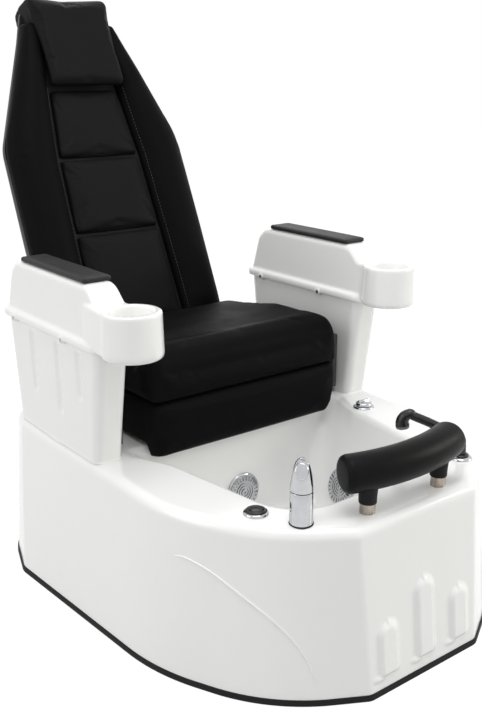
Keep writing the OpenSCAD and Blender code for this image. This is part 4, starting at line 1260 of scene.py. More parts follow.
@dataclass
class ArmRest:
    """One arm: a fluted panel, a cap with a cup holder and screw bosses, and a pad."""

    side: Side
    outer: float = 405.0
    inner: float = 325.0
    seam: float = 602.0  # height of the seam between the panel and the cap
    top: float = 739.0
    cup_top: float = 702.0
    cup_deep: float = 56.0
    front: float = 550.0
    rear: float = 990.0
    cup_depth: float = 490.0
    cup_across: float = 360.0
    flute_half: float = 12.0
    flute_deep: float = 4.2
    cap_edge: float = 14.0  # rounding of the cap's long edges
    foot_front: float = 590.0  # the panel at the deck
    foot_rear: float = 960.0
    pad_front: float = 609.0
    pad_rear: float = 909.0
    flutes: ClassVar[Pairs] = [(642, 482), (737, 425), (858, 443)]  # the middle and lower end of each
    screws: ClassVar[list[float]] = [693, 926]  # depths of the screw bosses

    def build(self) -> None:
        """Makes the arm's pieces."""
        self.panel()
        self.cap()
        self.pad()

    def side_of(self, points: Sequence[Vector]) -> list[Vector]:
        """Points of the right arm, mirrored for the left one."""
        return [Vector((p.x * self.side.value, p.y, p.z)) for p in points]

    def flute(self, depth: float, height: float) -> float:
        """How far the outer face is pressed in.

        Args:
            depth: The distance behind the front of the base, in millimetres.
            height: The height above the floor.

        Returns:
            The depth of the flute there, in millimetres.
        """
        deep = 0.0
        for centre, low in self.flutes:
            down = max(0.0, low + self.flute_half - height)
            off = math.hypot(depth - centre, down)
            deep = max(deep, self.flute_deep * (1 - smooth(self.flute_half - 7, self.flute_half + 2, off)))
        return deep * (1 - smooth(self.seam - 22, self.seam - 8, height))

    def panel(self) -> None:
        """The panel below the cap, wider towards the top, with three flutes outside."""
        rings = []
        height = DECK
        while height <= self.seam + 12:
            t = (height - DECK) / (self.seam + 16 - DECK)
            x0, x1 = mix(self.inner + 7, self.inner, t), mix(self.outer - 5, self.outer, t)
            y0, y1 = mix(self.foot_front, self.front + 4, t), mix(self.foot_rear, self.rear - 4, t)
            ring = rounded(rectangle(x0, y0, x1, y1), [mix(20, 24, t)] * 4, [8] * 4, [12, 90, 12, 40])
            middle = (x0 + x1) / 2
            rings.append(self.side_of([
                place(p.x - (self.flute(p.y, height) if p.x > middle + 20 else 0), p.y, height) for p in ring
            ]))
            height += 5.0
        foot = [Vector((p.x, p.y, p.z)) for p in rings[0]]
        middle = sum(foot, Vector()) / len(foot)
        flare = [p + (p - middle).normalized() * 2.5 * MM for p in foot]
        rings = [flare] + [[p + Vector((0, 0, 3 * MM)) for p in foot]] + rings[1:]
        piece(f"arm_panel_skin_{self.side.label}", loft(rings), GEL_COAT, Body.BASE, "shell",
              f"arm_panel_{self.side.label}", sharp=50.0)

    def cap_body(self) -> bmesh.types.BMesh:
        """The block of the cap, from its side view.

        Returns:
            The mesh of the right arm's cap.
        """
        s, t, f, r, c = self.seam, self.top, self.front, self.rear, self.cup_top
        profile = [(r - 1, s + 1), (r - 7, s + 20), (r - 32, t - 26), (r - 60, t), (f + 44, t), (f + 8, c),
                   (f - 6, c), (f, s + 1)]
        radii = [3, 14, 34, 34, 48, 12, 3, 3]
        edge, width = self.cap_edge, self.outer - self.inner
        rings = [(edge * (1 - math.cos(a)) / width, edge * (1 - math.sin(a))) for a in quarter()]
        rings += [(1 - across, inward) for across, inward in reversed(rings)]
        result = []
        for across, inward in rings:
            soft = [r if i == 5 else max(1, r - inward) for i, r in enumerate(radii)]  # the sixth is hollow
            outline = rounded(inset([Vector(p) for p in profile], inward), soft, [10] * 8)
            result.append([
                place(mix(self.inner, self.outer, across) + mix(5, -4, across) * (p.y - s) / 130, p.x, p.y)
                for p in outline
            ])
        return loft(result)

    def cap(self) -> None:
        """The cap, moulded in one with its lip, its screw bosses and the cup holder."""
        s, f = self.seam, self.front
        corners = rectangle(self.inner - 9, f - 4, self.outer + 9, self.rear + 7)
        lip = []
        for inward, height in ((5, s), (1, s + 2), (0, s + 6), (0, s + 13), (2, s + 18), (7, s + 21)):
            ring = rounded(inset(corners, inward), [26 - inward] * 4, [10] * 4)
            lip.append(level(ring, height))
        low, high = s + 5, self.cup_top
        cup = lathe([(0, low), (53, low), (59.5, low + 1.5), (62.4, low + 5), (63.2, low + 12),
                     (61, high - 4), (60, high), (58, high + 1), (0, high + 1)], 96)
        moved(cup, Matrix.Translation(place(self.cup_across, self.cup_depth, 0)))
        sides = [Vector(p) for p in ((self.inner + 1.5, f + 25), (self.inner + 1.5, self.cup_depth + 4),
                                     (self.cup_across + 62.6, self.cup_depth - 6), (self.outer + 1, f + 62))]
        neck = []
        for height, inward in ((low + 1, 8), (low + 3, 3.5), (low + 7, 0.8), (low + 13, 0), (high - 5, 2),
                               (high - 1, 4.5), (high + 0.5, 8)):
            ring = rounded(inset(sides, inward), [4, 4, 12, 4], [6] * 4)
            neck.append(level(ring, height))
        parts = [self.cap_body(), loft(lip), cup, loft(neck)]
        for depth in self.screws:
            boss = lathe([(0, 0), (7.5, 0), (8.4, 1.2), (8.6, 4), (8.6, 98), (8.4, 101), (7.5, 102.5),
                          (0, 102.5)], 32)
            spot = Matrix.Translation(place(self.inner - 11.2, depth, s + 4))
            parts.append(moved(boss, spot @ Matrix.Rotation(math.pi / 2, 4, "Y")))
        mesh = joined(*parts)
        if self.side is Side.LEFT:
            bmesh.ops.scale(mesh, vec=(-1, 1, 1), verts=mesh.verts)
            bmesh.ops.reverse_faces(mesh, faces=mesh.faces)
        made = piece(f"arm_cap_moulding_{self.side.label}", mesh, GEL_COAT, Body.BASE, "shell",
                     f"arm_cap_{self.side.label}")
        remesh(made, 2.6, 3)
        self.bore(made)

    def bore(self, made: bpy.types.Object) -> None:
        """Cuts the cup recess out of the cap.

        Args:
            made: The cap.
        """
        high, low = self.cup_top, self.cup_top - self.cup_deep
        cutter = lathe([(0, low), (36, low), (41, low + 1.5), (44.5, low + 6), (45.6, low + 12),
                        (46, high - 5), (47, high - 1.6), (50, high + 1.2), (50, high + 12),
                        (0, high + 12)], 96)
        moved(cutter, Matrix.Translation(place(self.cup_across * self.side.value, self.cup_depth, 0)))
        cut(made, cutter)

    def pad(self) -> None:
        """The self-skinned pad on the cap."""
        s = self.side.value
        x0, x1 = self.inner + 6, self.outer - 7
        corners = rectangle(x0, self.pad_front, x1, self.pad_rear)
        rings = []
        for up, inward in ((0.2, 2.2), (1.0, 0.8), (2.4, 0.1), (6, 0.0), (8.4, 0.6), (10.2, 2.0), (11.0, 5.0),
                           (11.3, 12)):
            ring = rounded(inset(corners, inward), [max(3, 9 - inward)] * 4, [8] * 4, [8, 36, 8, 36])
            rings.append([place(p.x * s, p.y, self.top + up) for p in ring])
        made = piece(f"arm_pad_cover_{self.side.label}", loft(rings), SKINNED_FOAM, Body.BASE, "arm_pad",
                     f"arm_pad_{self.side.label}")
        Stuffing(swell=1.0, voxel=2.5, pressure=1.0, fill=0.95).apply(
            made, lambda p: p.z < (self.top + 2.5) * MM)
        subdivided(made)


# ---------- the seat ----------


@dataclass
class Seat:
    """The seat: a cushion with a front roll and a dished middle, over an apron that hangs into the basin."""

    width: float = 540.0
    front: float = 554.0
    rear: float = 982.0
    seam: float = 462.0
    top: float = 578.0
    skirt: float = 328.0  # height of the apron's lower edge
    crown: float = 740.0  # depth at which the top starts to fall towards the back
    apron_rear: float = 984.0
    apron_wall: float = 28.0
    deck_cut: float = 606.0  # depth behind which the apron ends above the deck
    lean: float = 24.3  # of the cushion's rear face, which follows the back, in degrees
    side_radius: float = 20.0

    def section(self, across: float, inward: float) -> list[Vector]:
        """The side view of the cushion.

        Args:
            across: The distance from the middle of the chair, in millimetres.
            inward: How far the front, top and rear are moved inwards there.

        Returns:
            The points of the section, in metres.
        """
        low, back_z = self.seam + 1.5, self.top - 45
        slope = (back_z - low) * math.tan(math.radians(self.lean))
        corners = [Vector(p) for p in (
            (self.front + inward, low), (self.rear - inward, low),
            (self.rear + slope - inward, back_z - inward), (self.crown, self.top - inward),
            (self.front + inward, self.top - inward))]
        ring = rounded(corners, [10, 8, 22, 240, 44], [5, 4, 6, 10, 12], [30, 6, 14, 8, 8])
        return [place(across, p.x, p.y) for p in ring]

    def build(self) -> None:
        """Makes the cushion and the apron."""
        self.cushion()
        self.apron()

    def cushion(self) -> None:
        """Stuffs the cushion, then dishes its middle behind the front roll."""
        edge, side = self.side_radius, self.width / 2 - 2
        half = [(side - edge * (1 - math.cos(a)), 3 + edge * (1 - math.sin(a))) for a in quarter()]
        rings = [self.section(-x, inward) for x, inward in half]
        rings += [self.section(x, 3.0) for x in (-150, -75, 0, 75, 150)]
        rings += [self.section(x, inward) for x, inward in reversed(half)]
        made = piece("seat_cushion_cover", loft(rings), UPHOLSTERY, Body.SEAT, "upholstery", "seat_cushion")
        Stuffing(swell=6.0, voxel=6.0, pressure=3.0, fill=0.75).apply(
            made, lambda p: p.z < (self.seam + 6) * MM)
        for vert in made.data.vertices:
            vert.co.z -= self.dish(vert.co)
        subdivided(made)

    def dish(self, spot: Vector) -> float:
        """How far the top sinks.

        Args:
            spot: A point of the cushion's cover, in metres.

        Returns:
            How far it moves down, in metres.
        """
        across, depth, height = abs(spot.x) / MM, spot.y / MM - FRONT, spot.z / MM
        over = smooth(self.top - 45, self.top - 14, height)
        wide = 1 - smooth(120, 236, across)
        scoop = smooth(608, 676, depth) * (1 - 0.55 * smooth(720, 900, depth)) * (1 - smooth(900, 985, depth))
        return 15.0 * MM * over * wide * scoop

    def apron(self) -> None:
        """The skirt of the seat: rounded in front, hollow, and cut away over the deck."""
        half = self.width / 2
        rings = []
        for up, inward, back in ((0, 17, 12), (2, 14, 8), (7, 11.5, 4), (16, 9, 2), (32, 6, 0), (62, 3, 0),
                                 (102, 1.5, 0), (120, 2.5, 0), (128, 6, 0), (132, 12, 0)):
            corners = rectangle(-half + inward, self.front + inward + back, half - inward, self.apron_rear)
            ring = rounded(corners, [28, 28, 8, 8], [12, 12, 3, 3], [40, 30, 20, 30])
            rings.append(level(ring, self.skirt + up))
        made = piece("seat_apron_cover", loft(rings), UPHOLSTERY, Body.SEAT, "upholstery", "seat_apron")
        inner, start = half - self.apron_wall, self.front + self.apron_wall
        hollow = block(place(-inner, start, self.skirt - 30), place(inner, 1100, self.seam + 60), 20)
        over_deck = block(place(-400, self.deck_cut, self.skirt - 40), place(400, 1100, DECK + 8), 2)
        cut(made, hollow)
        cut(made, over_deck)
        Stuffing(swell=2.5, voxel=5.0, pressure=1.2, fill=0.5).apply(
            made, lambda p: p.y / MM - FRONT > 600 or p.z > (self.seam - 5) * MM)
        subdivided(made)


# ---------- the back ----------


@dataclass
class BackRest:
    """The back: two bolsters, three panels, a pillow that hooks over the top, and a shell behind."""

    lean: float = 24.3  # degrees behind the vertical
    origin_depth: float = 1012.0
    origin_height: float = 470.0
    board: float = 36.0  # from the front plane to the board that carries the covers
    outline: ClassVar[Pairs] = [(262, 16), (264, 300), (262, 548), (148, 842), (118, 930)]
    # How far up the back, and half the width of the panels there
    panel_half: ClassVar[Pairs] = [(70, 133), (294, 128), (300, 127), (500, 121), (518, 119), (691, 101),
                                   (880, 84)]
    panels: ClassVar[dict[str, tuple[float, float]]] = {
        "lower": (40, 294), "middle": (301, 501), "upper": (508, 694)}
    pillow_half: float = 118.0
    # The hook of the pillow and the wedge that closes its ends, behind the front plane and up the back
    pillow_profile: ClassVar[Pairs] = [(-37, 700), (-34, 945), (40, 947), (80, 932), (80, 842), (66, 842),
                                       (66, 928), (-1, 928), (-10, 688), (-27, 688)]
    gusset: ClassVar[Pairs] = [(-12, 872), (-14, 934), (38, 938), (73, 926), (73, 848), (40, 848), (34, 872)]

    def on_back(self, across: float, deep: float, up: float) -> Vector:
        """A point given across the back, behind its front plane and up it, in the part's frame."""
        a = math.radians(self.lean)
        return place(across, self.origin_depth + deep * math.cos(a) + up * math.sin(a),
                     self.origin_height - deep * math.sin(a) + up * math.cos(a))

    def inside(self, spot: Vector) -> tuple[float, float]:
        """Where a point lies on the back.

        Args:
            spot: The point, in metres.

        Returns:
            How far it lies behind the front plane and up the back, in millimetres.
        """
        a = math.radians(self.lean)
        depth, height = spot.y / MM - FRONT - self.origin_depth, spot.z / MM - self.origin_height
        return depth * math.cos(a) - height * math.sin(a), depth * math.sin(a) + height * math.cos(a)

    @staticmethod
    def at(table: Pairs, up: float) -> float:
        """Reads a width from a table.

        Args:
            table: Rows of a height and the width there.
            up: The height that is asked for.

        Returns:
            The width, which changes evenly from row to row.
        """
        for (u0, w0), (u1, w1) in zip(table, table[1:]):
            if up <= u1:
                return mix(w0, w1, (up - u0) / (u1 - u0))
        return table[-1][1]

    def outer_half(self, up: float) -> float:
        """The half-width of the whole back, with its shoulders drawn soft.

        Args:
            up: How far up the back, in millimetres.

        Returns:
            The half-width, in millimetres.
        """
        table = [(u, x) for x, u in self.outline]
        window = [-36, -24, -12, 0, 12, 24, 36]
        return sum(self.at(table, min(928.0, max(18.0, up + w))) for w in window) / len(window)

    def build(self) -> None:
        """Makes the back's pieces."""
        self.shell()
        self.seam_shade_sheet()
        covers = {side: self.bolster(side) for side in Side}
        for name, (low, high) in self.panels.items():
            self.panel(name, low, high)
        self.pillow()
        for side, cover in covers.items():
            self.seam(side, cover)

    def shell(self) -> None:
        """The moulded rear shell, deeper at the seat than at the top."""
        bulge = [Vector(p) for p in ((0.0, 4.0), (0.35, 3.0), (0.68, 14.0), (0.9, 34.0), (1.0, 62.0))]
        corners = both_sides(self.outline)
        radii, steps, spans = both([22, 150, 130, 60, 18]), both([8, 14, 14, 8, 6]), both([14, 14, 18, 6, 14])
        rings = []
        for spot in curve_through(bulge, 5):
            part = min(1.0, max(0.0, spot.x))
            ring = rounded(inset(corners, spot.y), radii, steps, spans)
            rings.append([self.on_back(p.x, mix(self.board - 1.0, 96 - 0.04 * p.y, part), p.y) for p in ring])
        piece("back_shell_moulding", loft(rings), BLACK_PLASTIC, Body.BACK, "back_shell", "back_shell")

    def seam_shade_sheet(self) -> None:
        """A near-black sheet at the bottom of the seams between the panels, which paints the shade in the
        gaps.
        """
        rings = []
        for up in (34, 150, 300, 450, 600, 720, 870):
            half = self.at(self.panel_half, up) + 12
            rings.append([self.on_back(p.x, p.y, up) for p in rectangle(-half, 20, half, self.board - 1)])
        # the sheet's near-black colour is painted shade for the seam gaps
        piece("panel_seam_shade", loft(rings), PAINTED_SEAM_SHADE, Body.BACK, "board")

    def bolster(self, side: Side) -> bpy.types.Object:
        """Makes one bolster, from the panel seam round to the shell.

        Args:
            side: The side of the chair.

        Returns:
            The cover.
        """
        name = side.label
        rings = []
        ups = [20, 24, 30, 38] + [50 + 14 * k for k in range(58)] + [868, 874, 879, 882]
        for up in ups:
            inner, outer = self.at(self.panel_half, up) + 5.5, self.outer_half(up) - 1.5
            wide = outer - inner
            lift = min(25, wide * 0.3, 3 + (up - 18) * 0.35, 5 + (884 - up) * 0.5)
            shape = [(inner, self.board - 1.2), (inner, 14), (inner + 1.5, 3),
                     (inner + wide * 0.14, -lift * 0.5), (inner + wide * 0.38, -lift * 0.95),
                     (inner + wide * 0.68, -lift), (outer - wide * 0.12, -lift * 0.55), (outer - 1.5, 5),
                     (outer, 16), (outer, 27), (outer - 5, self.board - 1.2)]
            end = min(1.0, (up - 18) / 14, (886 - up) / 14)
            full = max(0.3, end) ** 0.5  # both ends of the bolster are flatter
            rings.append([self.on_back(side.value * p.x, mix(self.board - 6, p.y, full), up)
                          for p in curve_through([Vector(p) for p in shape], 5)])
        made = piece(f"bolster_cover_{name}", loft(rings), UPHOLSTERY, Body.BACK, "upholstery",
                     f"bolster_{name}")
        Stuffing(swell=4.0, voxel=5.0, pressure=2.0, fill=0.7).apply(made, lambda p: self.inside(p)[0] > 12)
        subdivided(made)
        return made

    def panel(self, name: str, low: float, high: float) -> None:
        """Makes one panel between the bolsters, tucked in along all four edges.

        Args:
            name: The panel's name.
            low: Where it starts, in millimetres up the back.
            high: Where it ends.
        """
        rings = []
        gap = 3.0
        tuck = [(1, 16), (1.6, 9), (4, 4), (9, 1.0), (20, 0)]
        ups = [(low + off, edge) for off, edge in tuck] + [(mix(low, high, 0.5), 0)]
        ups += [(high - off, edge) for off, edge in reversed(tuck)]
        for up, edge in ups:
            half = self.at(self.panel_half, up) - gap
            crown = -3.0 * math.sin(math.pi * (up - low) / (high - low))
            shape = [(-half, self.board - 1.2), (-half, 15 + edge * 0.3), (-half + 1.5, 8 + edge * 0.8),
                     (-half + 8, 2.5 + edge), (-half + 26, crown * 0.7 + edge), (0, crown + edge),
                     (half - 26, crown * 0.7 + edge), (half - 8, 2.5 + edge), (half - 1.5, 8 + edge * 0.8),
                     (half, 15 + edge * 0.3), (half, self.board - 1.2)]
            curve = curve_through([Vector(p) for p in shape], 4)
            rings.append([self.on_back(p.x, p.y, up) for p in curve])
        made = piece(f"panel_cover_{name}", loft(rings), PANEL_COVER, Body.BACK, "upholstery",
                     f"back_panel_{name}")
        Stuffing(swell=3.5, voxel=4.5, pressure=2.0, fill=0.6).apply(made, lambda p: self.inside(p)[0] > 18)
        subdivided(made)

    def pillow(self) -> None:
        """The head pillow, which hooks over the top of the back."""
        corners = [Vector(p) for p in reversed(self.pillow_profile)]
        radii = [8, 6, 3, 3, 6, 6, 20, 24, 32, 14]
        hollow = (2, 3)  # the corners inside the hook
        steps = [4, 4, 2, 2, 4, 4, 8, 8, 10, 6]
        spans = [2, 30, 8, 10, 2, 12, 5, 10, 30, 2]
        rings = []
        end = self.pillow_half - 1.5
        outer = [(end - 12 * (1 - math.cos(a)), 1.5 + 8 * (1 - math.sin(a))) for a in quarter()]
        sides = [(-x, d) for x, d in outer] + [(x, 1.5) for x in (-70, -35, 0, 35, 70)]
        sides += [(x, d) for x, d in reversed(outer)]
        for across, inward in sides:
            soft = [r + inward if i in hollow else max(1, r - inward) for i, r in enumerate(radii)]
            ring = rounded(inset(corners, inward), soft, steps, spans)
            rings.append([self.on_back(across * self.taper(p.y), p.x, p.y) for p in ring])
        parts = [loft(rings)]
        for side in Side:
            ends = []
            for across in (self.pillow_half - 9, self.pillow_half - 2):
                ring = rounded([Vector(p) for p in self.gusset], [3, 16, 18, 14, 3, 3, 3], [4] * 7)
                ends.append([self.on_back(side.value * across * self.taper(p.y), p.x, p.y) for p in ring])
            parts.append(loft(ends))
        made = piece("head_pillow_cover", joined(*parts), PANEL_COVER, Body.BACK, "upholstery", "head_pillow")
        Stuffing(swell=7.0, voxel=5.0, pressure=3.0, fill=0.8).apply(
            made, lambda p: self.inside(p)[0] > 2 and self.inside(p)[1] < 930)
        subdivided(made)

    @staticmethod
    def taper(up: float) -> float:
        """How much the pillow narrows towards its lower edge."""
        return mix(0.95, 1.0, smooth(700, 920, up))

    def seam(self, side: Side, cover: bpy.types.Object) -> None:
        """Sews the row of stitches that runs up a bolster, beside the panels.

        Args:
            side: The side of the chair.
            cover: The bolster's cover.
        """
        path = [self.on_back(side.value * (self.at(self.panel_half, up) + 14), -80, up)
                for up in range(46, 700, 10)]
        a = math.radians(self.lean)
        aim = Vector((0, math.cos(a), -math.sin(a)))
        stitches(f"seam_stitches_{side.label}", cover, path, aim, Body.BACK)


# ---------- the footrest ----------


@dataclass
class Footrest:
    """The footrest: a curved roll on two bright posts, each in a socket and with a moulded sleeve on top."""

    radius: float = 38.5
    skin: float = 0.6  # how much thinner the roll is before it is stuffed
    bend: float = 437.0  # radius of the roll's curve
    half_angle: float = 20.2  # from the middle of the roll to its end, in degrees
    middle_depth: float = 75.0
    height: float = 434.0
    post_across: float = 100.0
    post_depth: float = 83.0
    # Degrees from the roll's end, and how much thinner it is there
    end_curve: ClassVar[Pairs] = [(0.0, 11.0), (0.14, 7.0), (0.4, 3.6), (0.8, 1.2), (1.4, 0.0)]
    sleeve_profile: ClassVar[Pairs] = [(15.4, 20.8), (16.6, 20.8), (17.3, 21.5), (17.6, 23), (17.9, 34),
                                       (18.3, 42), (19.2, 50), (20.4, 58), (21, 64), (15.4, 64)]

    def build(self) -> None:
        """Makes the roll and its two legs."""
        self.roll()
        for side in Side:
            self.leg(side)

    def roll(self) -> None:
        """The roll: a bent bar with rounded ends, held where the posts enter it."""
        path, radii = [], []
        ends = [(a, self.radius - inward) for a, inward in self.end_curve]
        angles = [(-self.half_angle + a, r) for a, r in ends]
        full = self.half_angle - 1.6  # as far as the roll keeps its whole radius
        angles += [(mix(-full, full, k / 40), self.radius) for k in range(41)]
        angles += [(self.half_angle - a, r) for a, r in reversed(ends)]
        for angle, radius in angles:
            a = math.radians(angle - 90)
            depth = self.middle_depth + self.bend * (1 + math.sin(a))
            path.append(place(self.bend * math.cos(a), depth, self.height))
            radii.append(radius - self.skin)
        roll = piece("footrest_roll_cover", swept(path, radii, 48), ROLL_COVER, Body.FOOTREST, "upholstery",
                     "footrest_pad")
        Stuffing(swell=1.2, voxel=4.0, pressure=1.5, fill=0.9).apply(
            roll, lambda p: abs(abs(p.x / MM) - self.post_across) < 30 and p.z < (self.height - 30) * MM)
        subdivided(roll)

    def leg(self, side: Side) -> None:
        """Makes a post, the socket that it slides in, and the sleeve that flares up into the roll.

        Args:
            side: The side of the chair.
        """
        spot = Matrix.Translation(place(side.value * self.post_across, self.post_depth, DECK))
        parts = [
            ("sleeve", self.sleeve_profile, RUBBER, Body.FOOTREST, "rubber", "footrest_sleeves"),
            ("post", self.tube(12.5, 14.5, -56, 66), TURNED_STEEL, Body.FOOTREST, "brushed", "footrest_core"),
            ("socket", self.tube(14.6, 15.2, -4, 20.4), TURNED_STEEL, Body.BASE, "brushed",
             "footrest_sockets"),
        ]
        for part, profile, finish, body, slot, solid in parts:
            made = moved(lathe(profile), spot)
            replaced = (solid,) if side is Side.LEFT else ()
            piece(f"footrest_{part}_{side.label}", made, finish, body, slot, *replaced, sharp=46.0)

    @staticmethod
    def tube(inner: float, outer: float, low: float, high: float) -> Pairs:
        """The profile of a plain tube, from its inner and outer radius and its two heights."""
        return [(inner, low), (outer, low), (outer, high), (inner, high), (inner, low)]


# ---------- water, air and drain fittings ----------


@dataclass
class Fittings:
    """The mixer, the air button, the hand spray, the drain knob and the three jet covers."""

    mixer: tuple[float, float] = (-229.0, 126.0)  # across the deck and behind its front
    button: tuple[float, float] = (-271.0, 208.0)
    spray: tuple[float, float] = (244.0, 143.0)
    knob: tuple[float, float] = (304.0, 500.0)
    mixer_height: float = 131.0
    mixer_bearing: float = 225.0  # where the lever looks, in degrees from the right
    face_slope: float = 62.0
    spray_bearing: float = 135.0
    nozzle_tilt: float = 188.0
    jet_height: float = 165.0
    jet_side: tuple[float, float] = (216.6, 480.0)
    jet_rear: float = 598.0
    round_steps: int = 96

    def build(self) -> None:
        """Makes all the fittings."""
        self.mixer_pieces()
        self.button_pieces()
        self.spray_pieces()
        self.knob_pieces()
        self.jets()

    def at_deck(self, spot: tuple[float, float]) -> Matrix:
        """The frame of a fitting that stands on the deck."""
        return Matrix.Translation(place(spot[0], spot[1], DECK))

    def mixer_pieces(self) -> None:
        """The mixer: a straight body, a bullet-shaped cap with a slanted face, and an oval lever on it."""
        base = self.at_deck(self.mixer)
        body = lathe([(17, 2.0), (22.0, 2.0), (22.5, 2.6), (22.3, 40), (22.0, 64.6), (21.4, 65.6), (16, 65.6),
                      (16, 2.0)], self.round_steps)
        piece("mixer_body_plated", moved(body, base), CHROME, Body.BASE, "chrome", "mixer_body")
        cap = lathe([(0, 66.8), (21.2, 66.8), (22.0, 67.6), (22.0, 71), (21.4, 79), (20.3, 88), (18.8, 98),
                     (16.9, 108), (14.8, 116), (12.2, 122.5), (9, 127), (5, 130), (0, self.mixer_height)],
                    self.round_steps)
        turn = Matrix.Rotation(math.radians(self.mixer_bearing), 4, "Z")
        out = Matrix.Translation(Vector((13, 0, self.mixer_height - 22)) * MM)
        face = turn @ out @ Matrix.Rotation(math.radians(self.face_slope), 4, "Y")
        normal = (face.to_3x3() @ Vector((0, 0, 1))).normalized()
        sliced = bmesh.ops.bisect_plane(cap, geom=cap.verts[:] + cap.edges[:] + cap.faces[:],
                                        plane_co=face.to_translation(), plane_no=normal, clear_outer=True)
        rim = [e for e in sliced["geom_cut"] if isinstance(e, bmesh.types.BMEdge)]
        made = bmesh.ops.edgeloop_fill(cap, edges=rim)["faces"]
        bmesh.ops.inset_region(cap, faces=made, thickness=1.6 * MM, depth=0)
        bmesh.ops.inset_region(cap, faces=made, thickness=0.6 * MM, depth=-1.6 * MM)
        piece("mixer_cap_plated", moved(cap, base), CHROME, Body.MIXER_CAP, "chrome", "mixer_cap", sharp=30.0)
        lever = lathe([(0, 0.4), (11.6, 0.4), (12.7, 1.0), (13.2, 2.2), (13.0, 5.0), (12.2, 6.8), (10.8, 7.7),
                       (0, 8.0)], self.round_steps)
        bmesh.ops.scale(lever, vec=(1.27, 1, 1), verts=lever.verts)
        for vert in lever.verts:
            vert.co.y *= 1 - 0.16 * smooth(0, 17, vert.co.x / MM)
        piece("mixer_lever_plated", moved(lever, base @ face), CHROME, Body.MIXER_LEVER, "chrome",
              "mixer_lever")

    def button_pieces(self) -> None:
        """The air button: a black dished cap in a plated bezel."""
        base = self.at_deck(self.button)
        bezel = lathe([(20.2, 0), (25, 0), (25, 1.4), (24.2, 3.4), (22.8, 5.0), (21.4, 5.6), (20.6, 5.2),
                       (20.2, 4.2)], self.round_steps)
        piece("button_bezel_plated", moved(bezel, base), CHROME, Body.BASE, "chrome", "button_bezel")
        cap = lathe([(0, 3.5), (19.6, 3.5), (19.6, 7.0), (19.0, 8.2), (17.4, 9.0), (15.4, 8.8), (13.4, 7.4),
                     (11.6, 6.9), (10.4, 7.6), (8, 8.2), (0, 8.5)], self.round_steps)
        piece("air_button_cap", moved(cap, base), BLACK_PLASTIC, Body.BUTTON, "black_plastic", "air_button")

    def spray_pieces(self) -> None:
        """The hand spray: a bent handle standing in its socket, with a toothed nozzle that looks down."""
        base = self.at_deck(self.spray)
        ring = lathe([(15.3, 0), (24, 0), (24, 1.6), (22.6, 3.8), (20, 5.6), (17, 6.5), (15.3, 6.4)],
                     self.round_steps)
        piece("spray_ring_plated", moved(ring, base), CHROME, Body.BASE, "chrome", "spray_ring")
        collar = lathe([(10.4, -8), (15.0, -8), (15.0, 6.8), (16.4, 7.2), (16.2, 9), (14.6, 10.6),
                        (11.4, 11.0), (10.4, 10.4)])
        piece("spray_collar_moulded", moved(collar, base), BLACK_PLASTIC, Body.BASE, "black_plastic",
              "spray_collar")
        spots = self.handle_line()
        radii = [10.0 if i < 9 else 10.0 + (i - 8) * 0.75 for i in range(len(spots))]
        wide = curve_through([Vector((r, 0)) for r in radii], 6)
        handle = swept(curve_through(spots, 6), [w.x - 0.1 for w in wide], 32)
        piece("hand_spray_handle", handle, BLACK_PLASTIC, Body.SPRAY, "black_plastic", "hand_spray")
        turn = Matrix.Rotation(math.radians(self.spray_bearing), 4, "Z") \
            @ Matrix.Rotation(math.radians(self.nozzle_tilt), 4, "Y")
        nozzle = moved(self.nozzle(), Matrix.Translation(spots[-1]) @ turn)
        piece("spray_nozzle_toothed", nozzle, GREY_PLASTIC, Body.SPRAY, "grey_plastic", "spray_nozzle")

    def handle_line(self) -> list[Vector]:
        """The middle line of the spray's handle, from its hidden lower end to the nozzle.

        Returns:
            Its points, in metres.
        """
        line = [(0.0, -115.0), (0.0, -40.0), (0.0, 18.0), (1.0, 32.0)]
        line += [(4 + 102 * t, 46 + 54 * t - 8 * t * t) for t in (0, 0.25, 0.5, 0.75, 1.0)]
        bend = [math.radians(80 - 16 * k) for k in range(7)]
        line += [(108 + 21 * math.cos(a), 76 + 21 * math.sin(a)) for a in bend]
        foot = place(self.spray[0], self.spray[1], DECK)
        bearing = Vector((-math.sqrt(0.5), math.sqrt(0.5), 0))
        return [foot + (bearing * out + Vector((0, 0, up))) * MM for out, up in line]

    def nozzle(self) -> bmesh.types.BMesh:
        """The spray's nozzle, a disc with a ring of teeth round its edge.

        Returns:
            The mesh, which looks up.
        """
        disc = lathe([(0, 0.2), (13.6, 0.2), (13.6, 2.2), (12.8, 6.6), (11.6, 7.4), (9.6, 7.2), (9.0, 5.6),
                      (4, 5.2), (3.4, 6.4), (0, 6.6)], 72)
        teeth = [f for f in disc.faces if 12.9 * MM < reach(f) < 13.6 * MM and sector(f, 15) % 2]
        for face in bmesh.ops.extrude_discrete_faces(disc, faces=teeth)["faces"]:
            out = face.calc_center_median().to_2d().normalized().to_3d() * 1.3 * MM
            bmesh.ops.translate(disc, vec=out, verts=face.verts)
        return disc

    def knob_pieces(self) -> None:
        """The drain knob: a low plated disc with a finger bar, over its escutcheon."""
        base = self.at_deck(self.knob)
        plate = lathe([(5.1, 0), (26, 0), (26, 1.2), (24.6, 3.2), (22, 4.5), (5.1, 4.5)], self.round_steps)
        piece("knob_plate", moved(plate, base), CHROME, Body.BASE, "chrome", "knob_escutcheon")
        disc = lathe([(0, 5.1), (19, 5.1), (20, 6), (20, 9), (18.6, 11.8), (15.6, 13.6), (11, 14.8),
                      (0, 15.4)], self.round_steps)
        bar = block(Vector((-18.4, -4, 8)) * MM, Vector((18.4, 4, 19.5)) * MM, 2.6)
        piece("drain_knob_plated", moved(joined(disc, bar), base), CHROME, Body.KNOB, "chrome", "drain_knob")

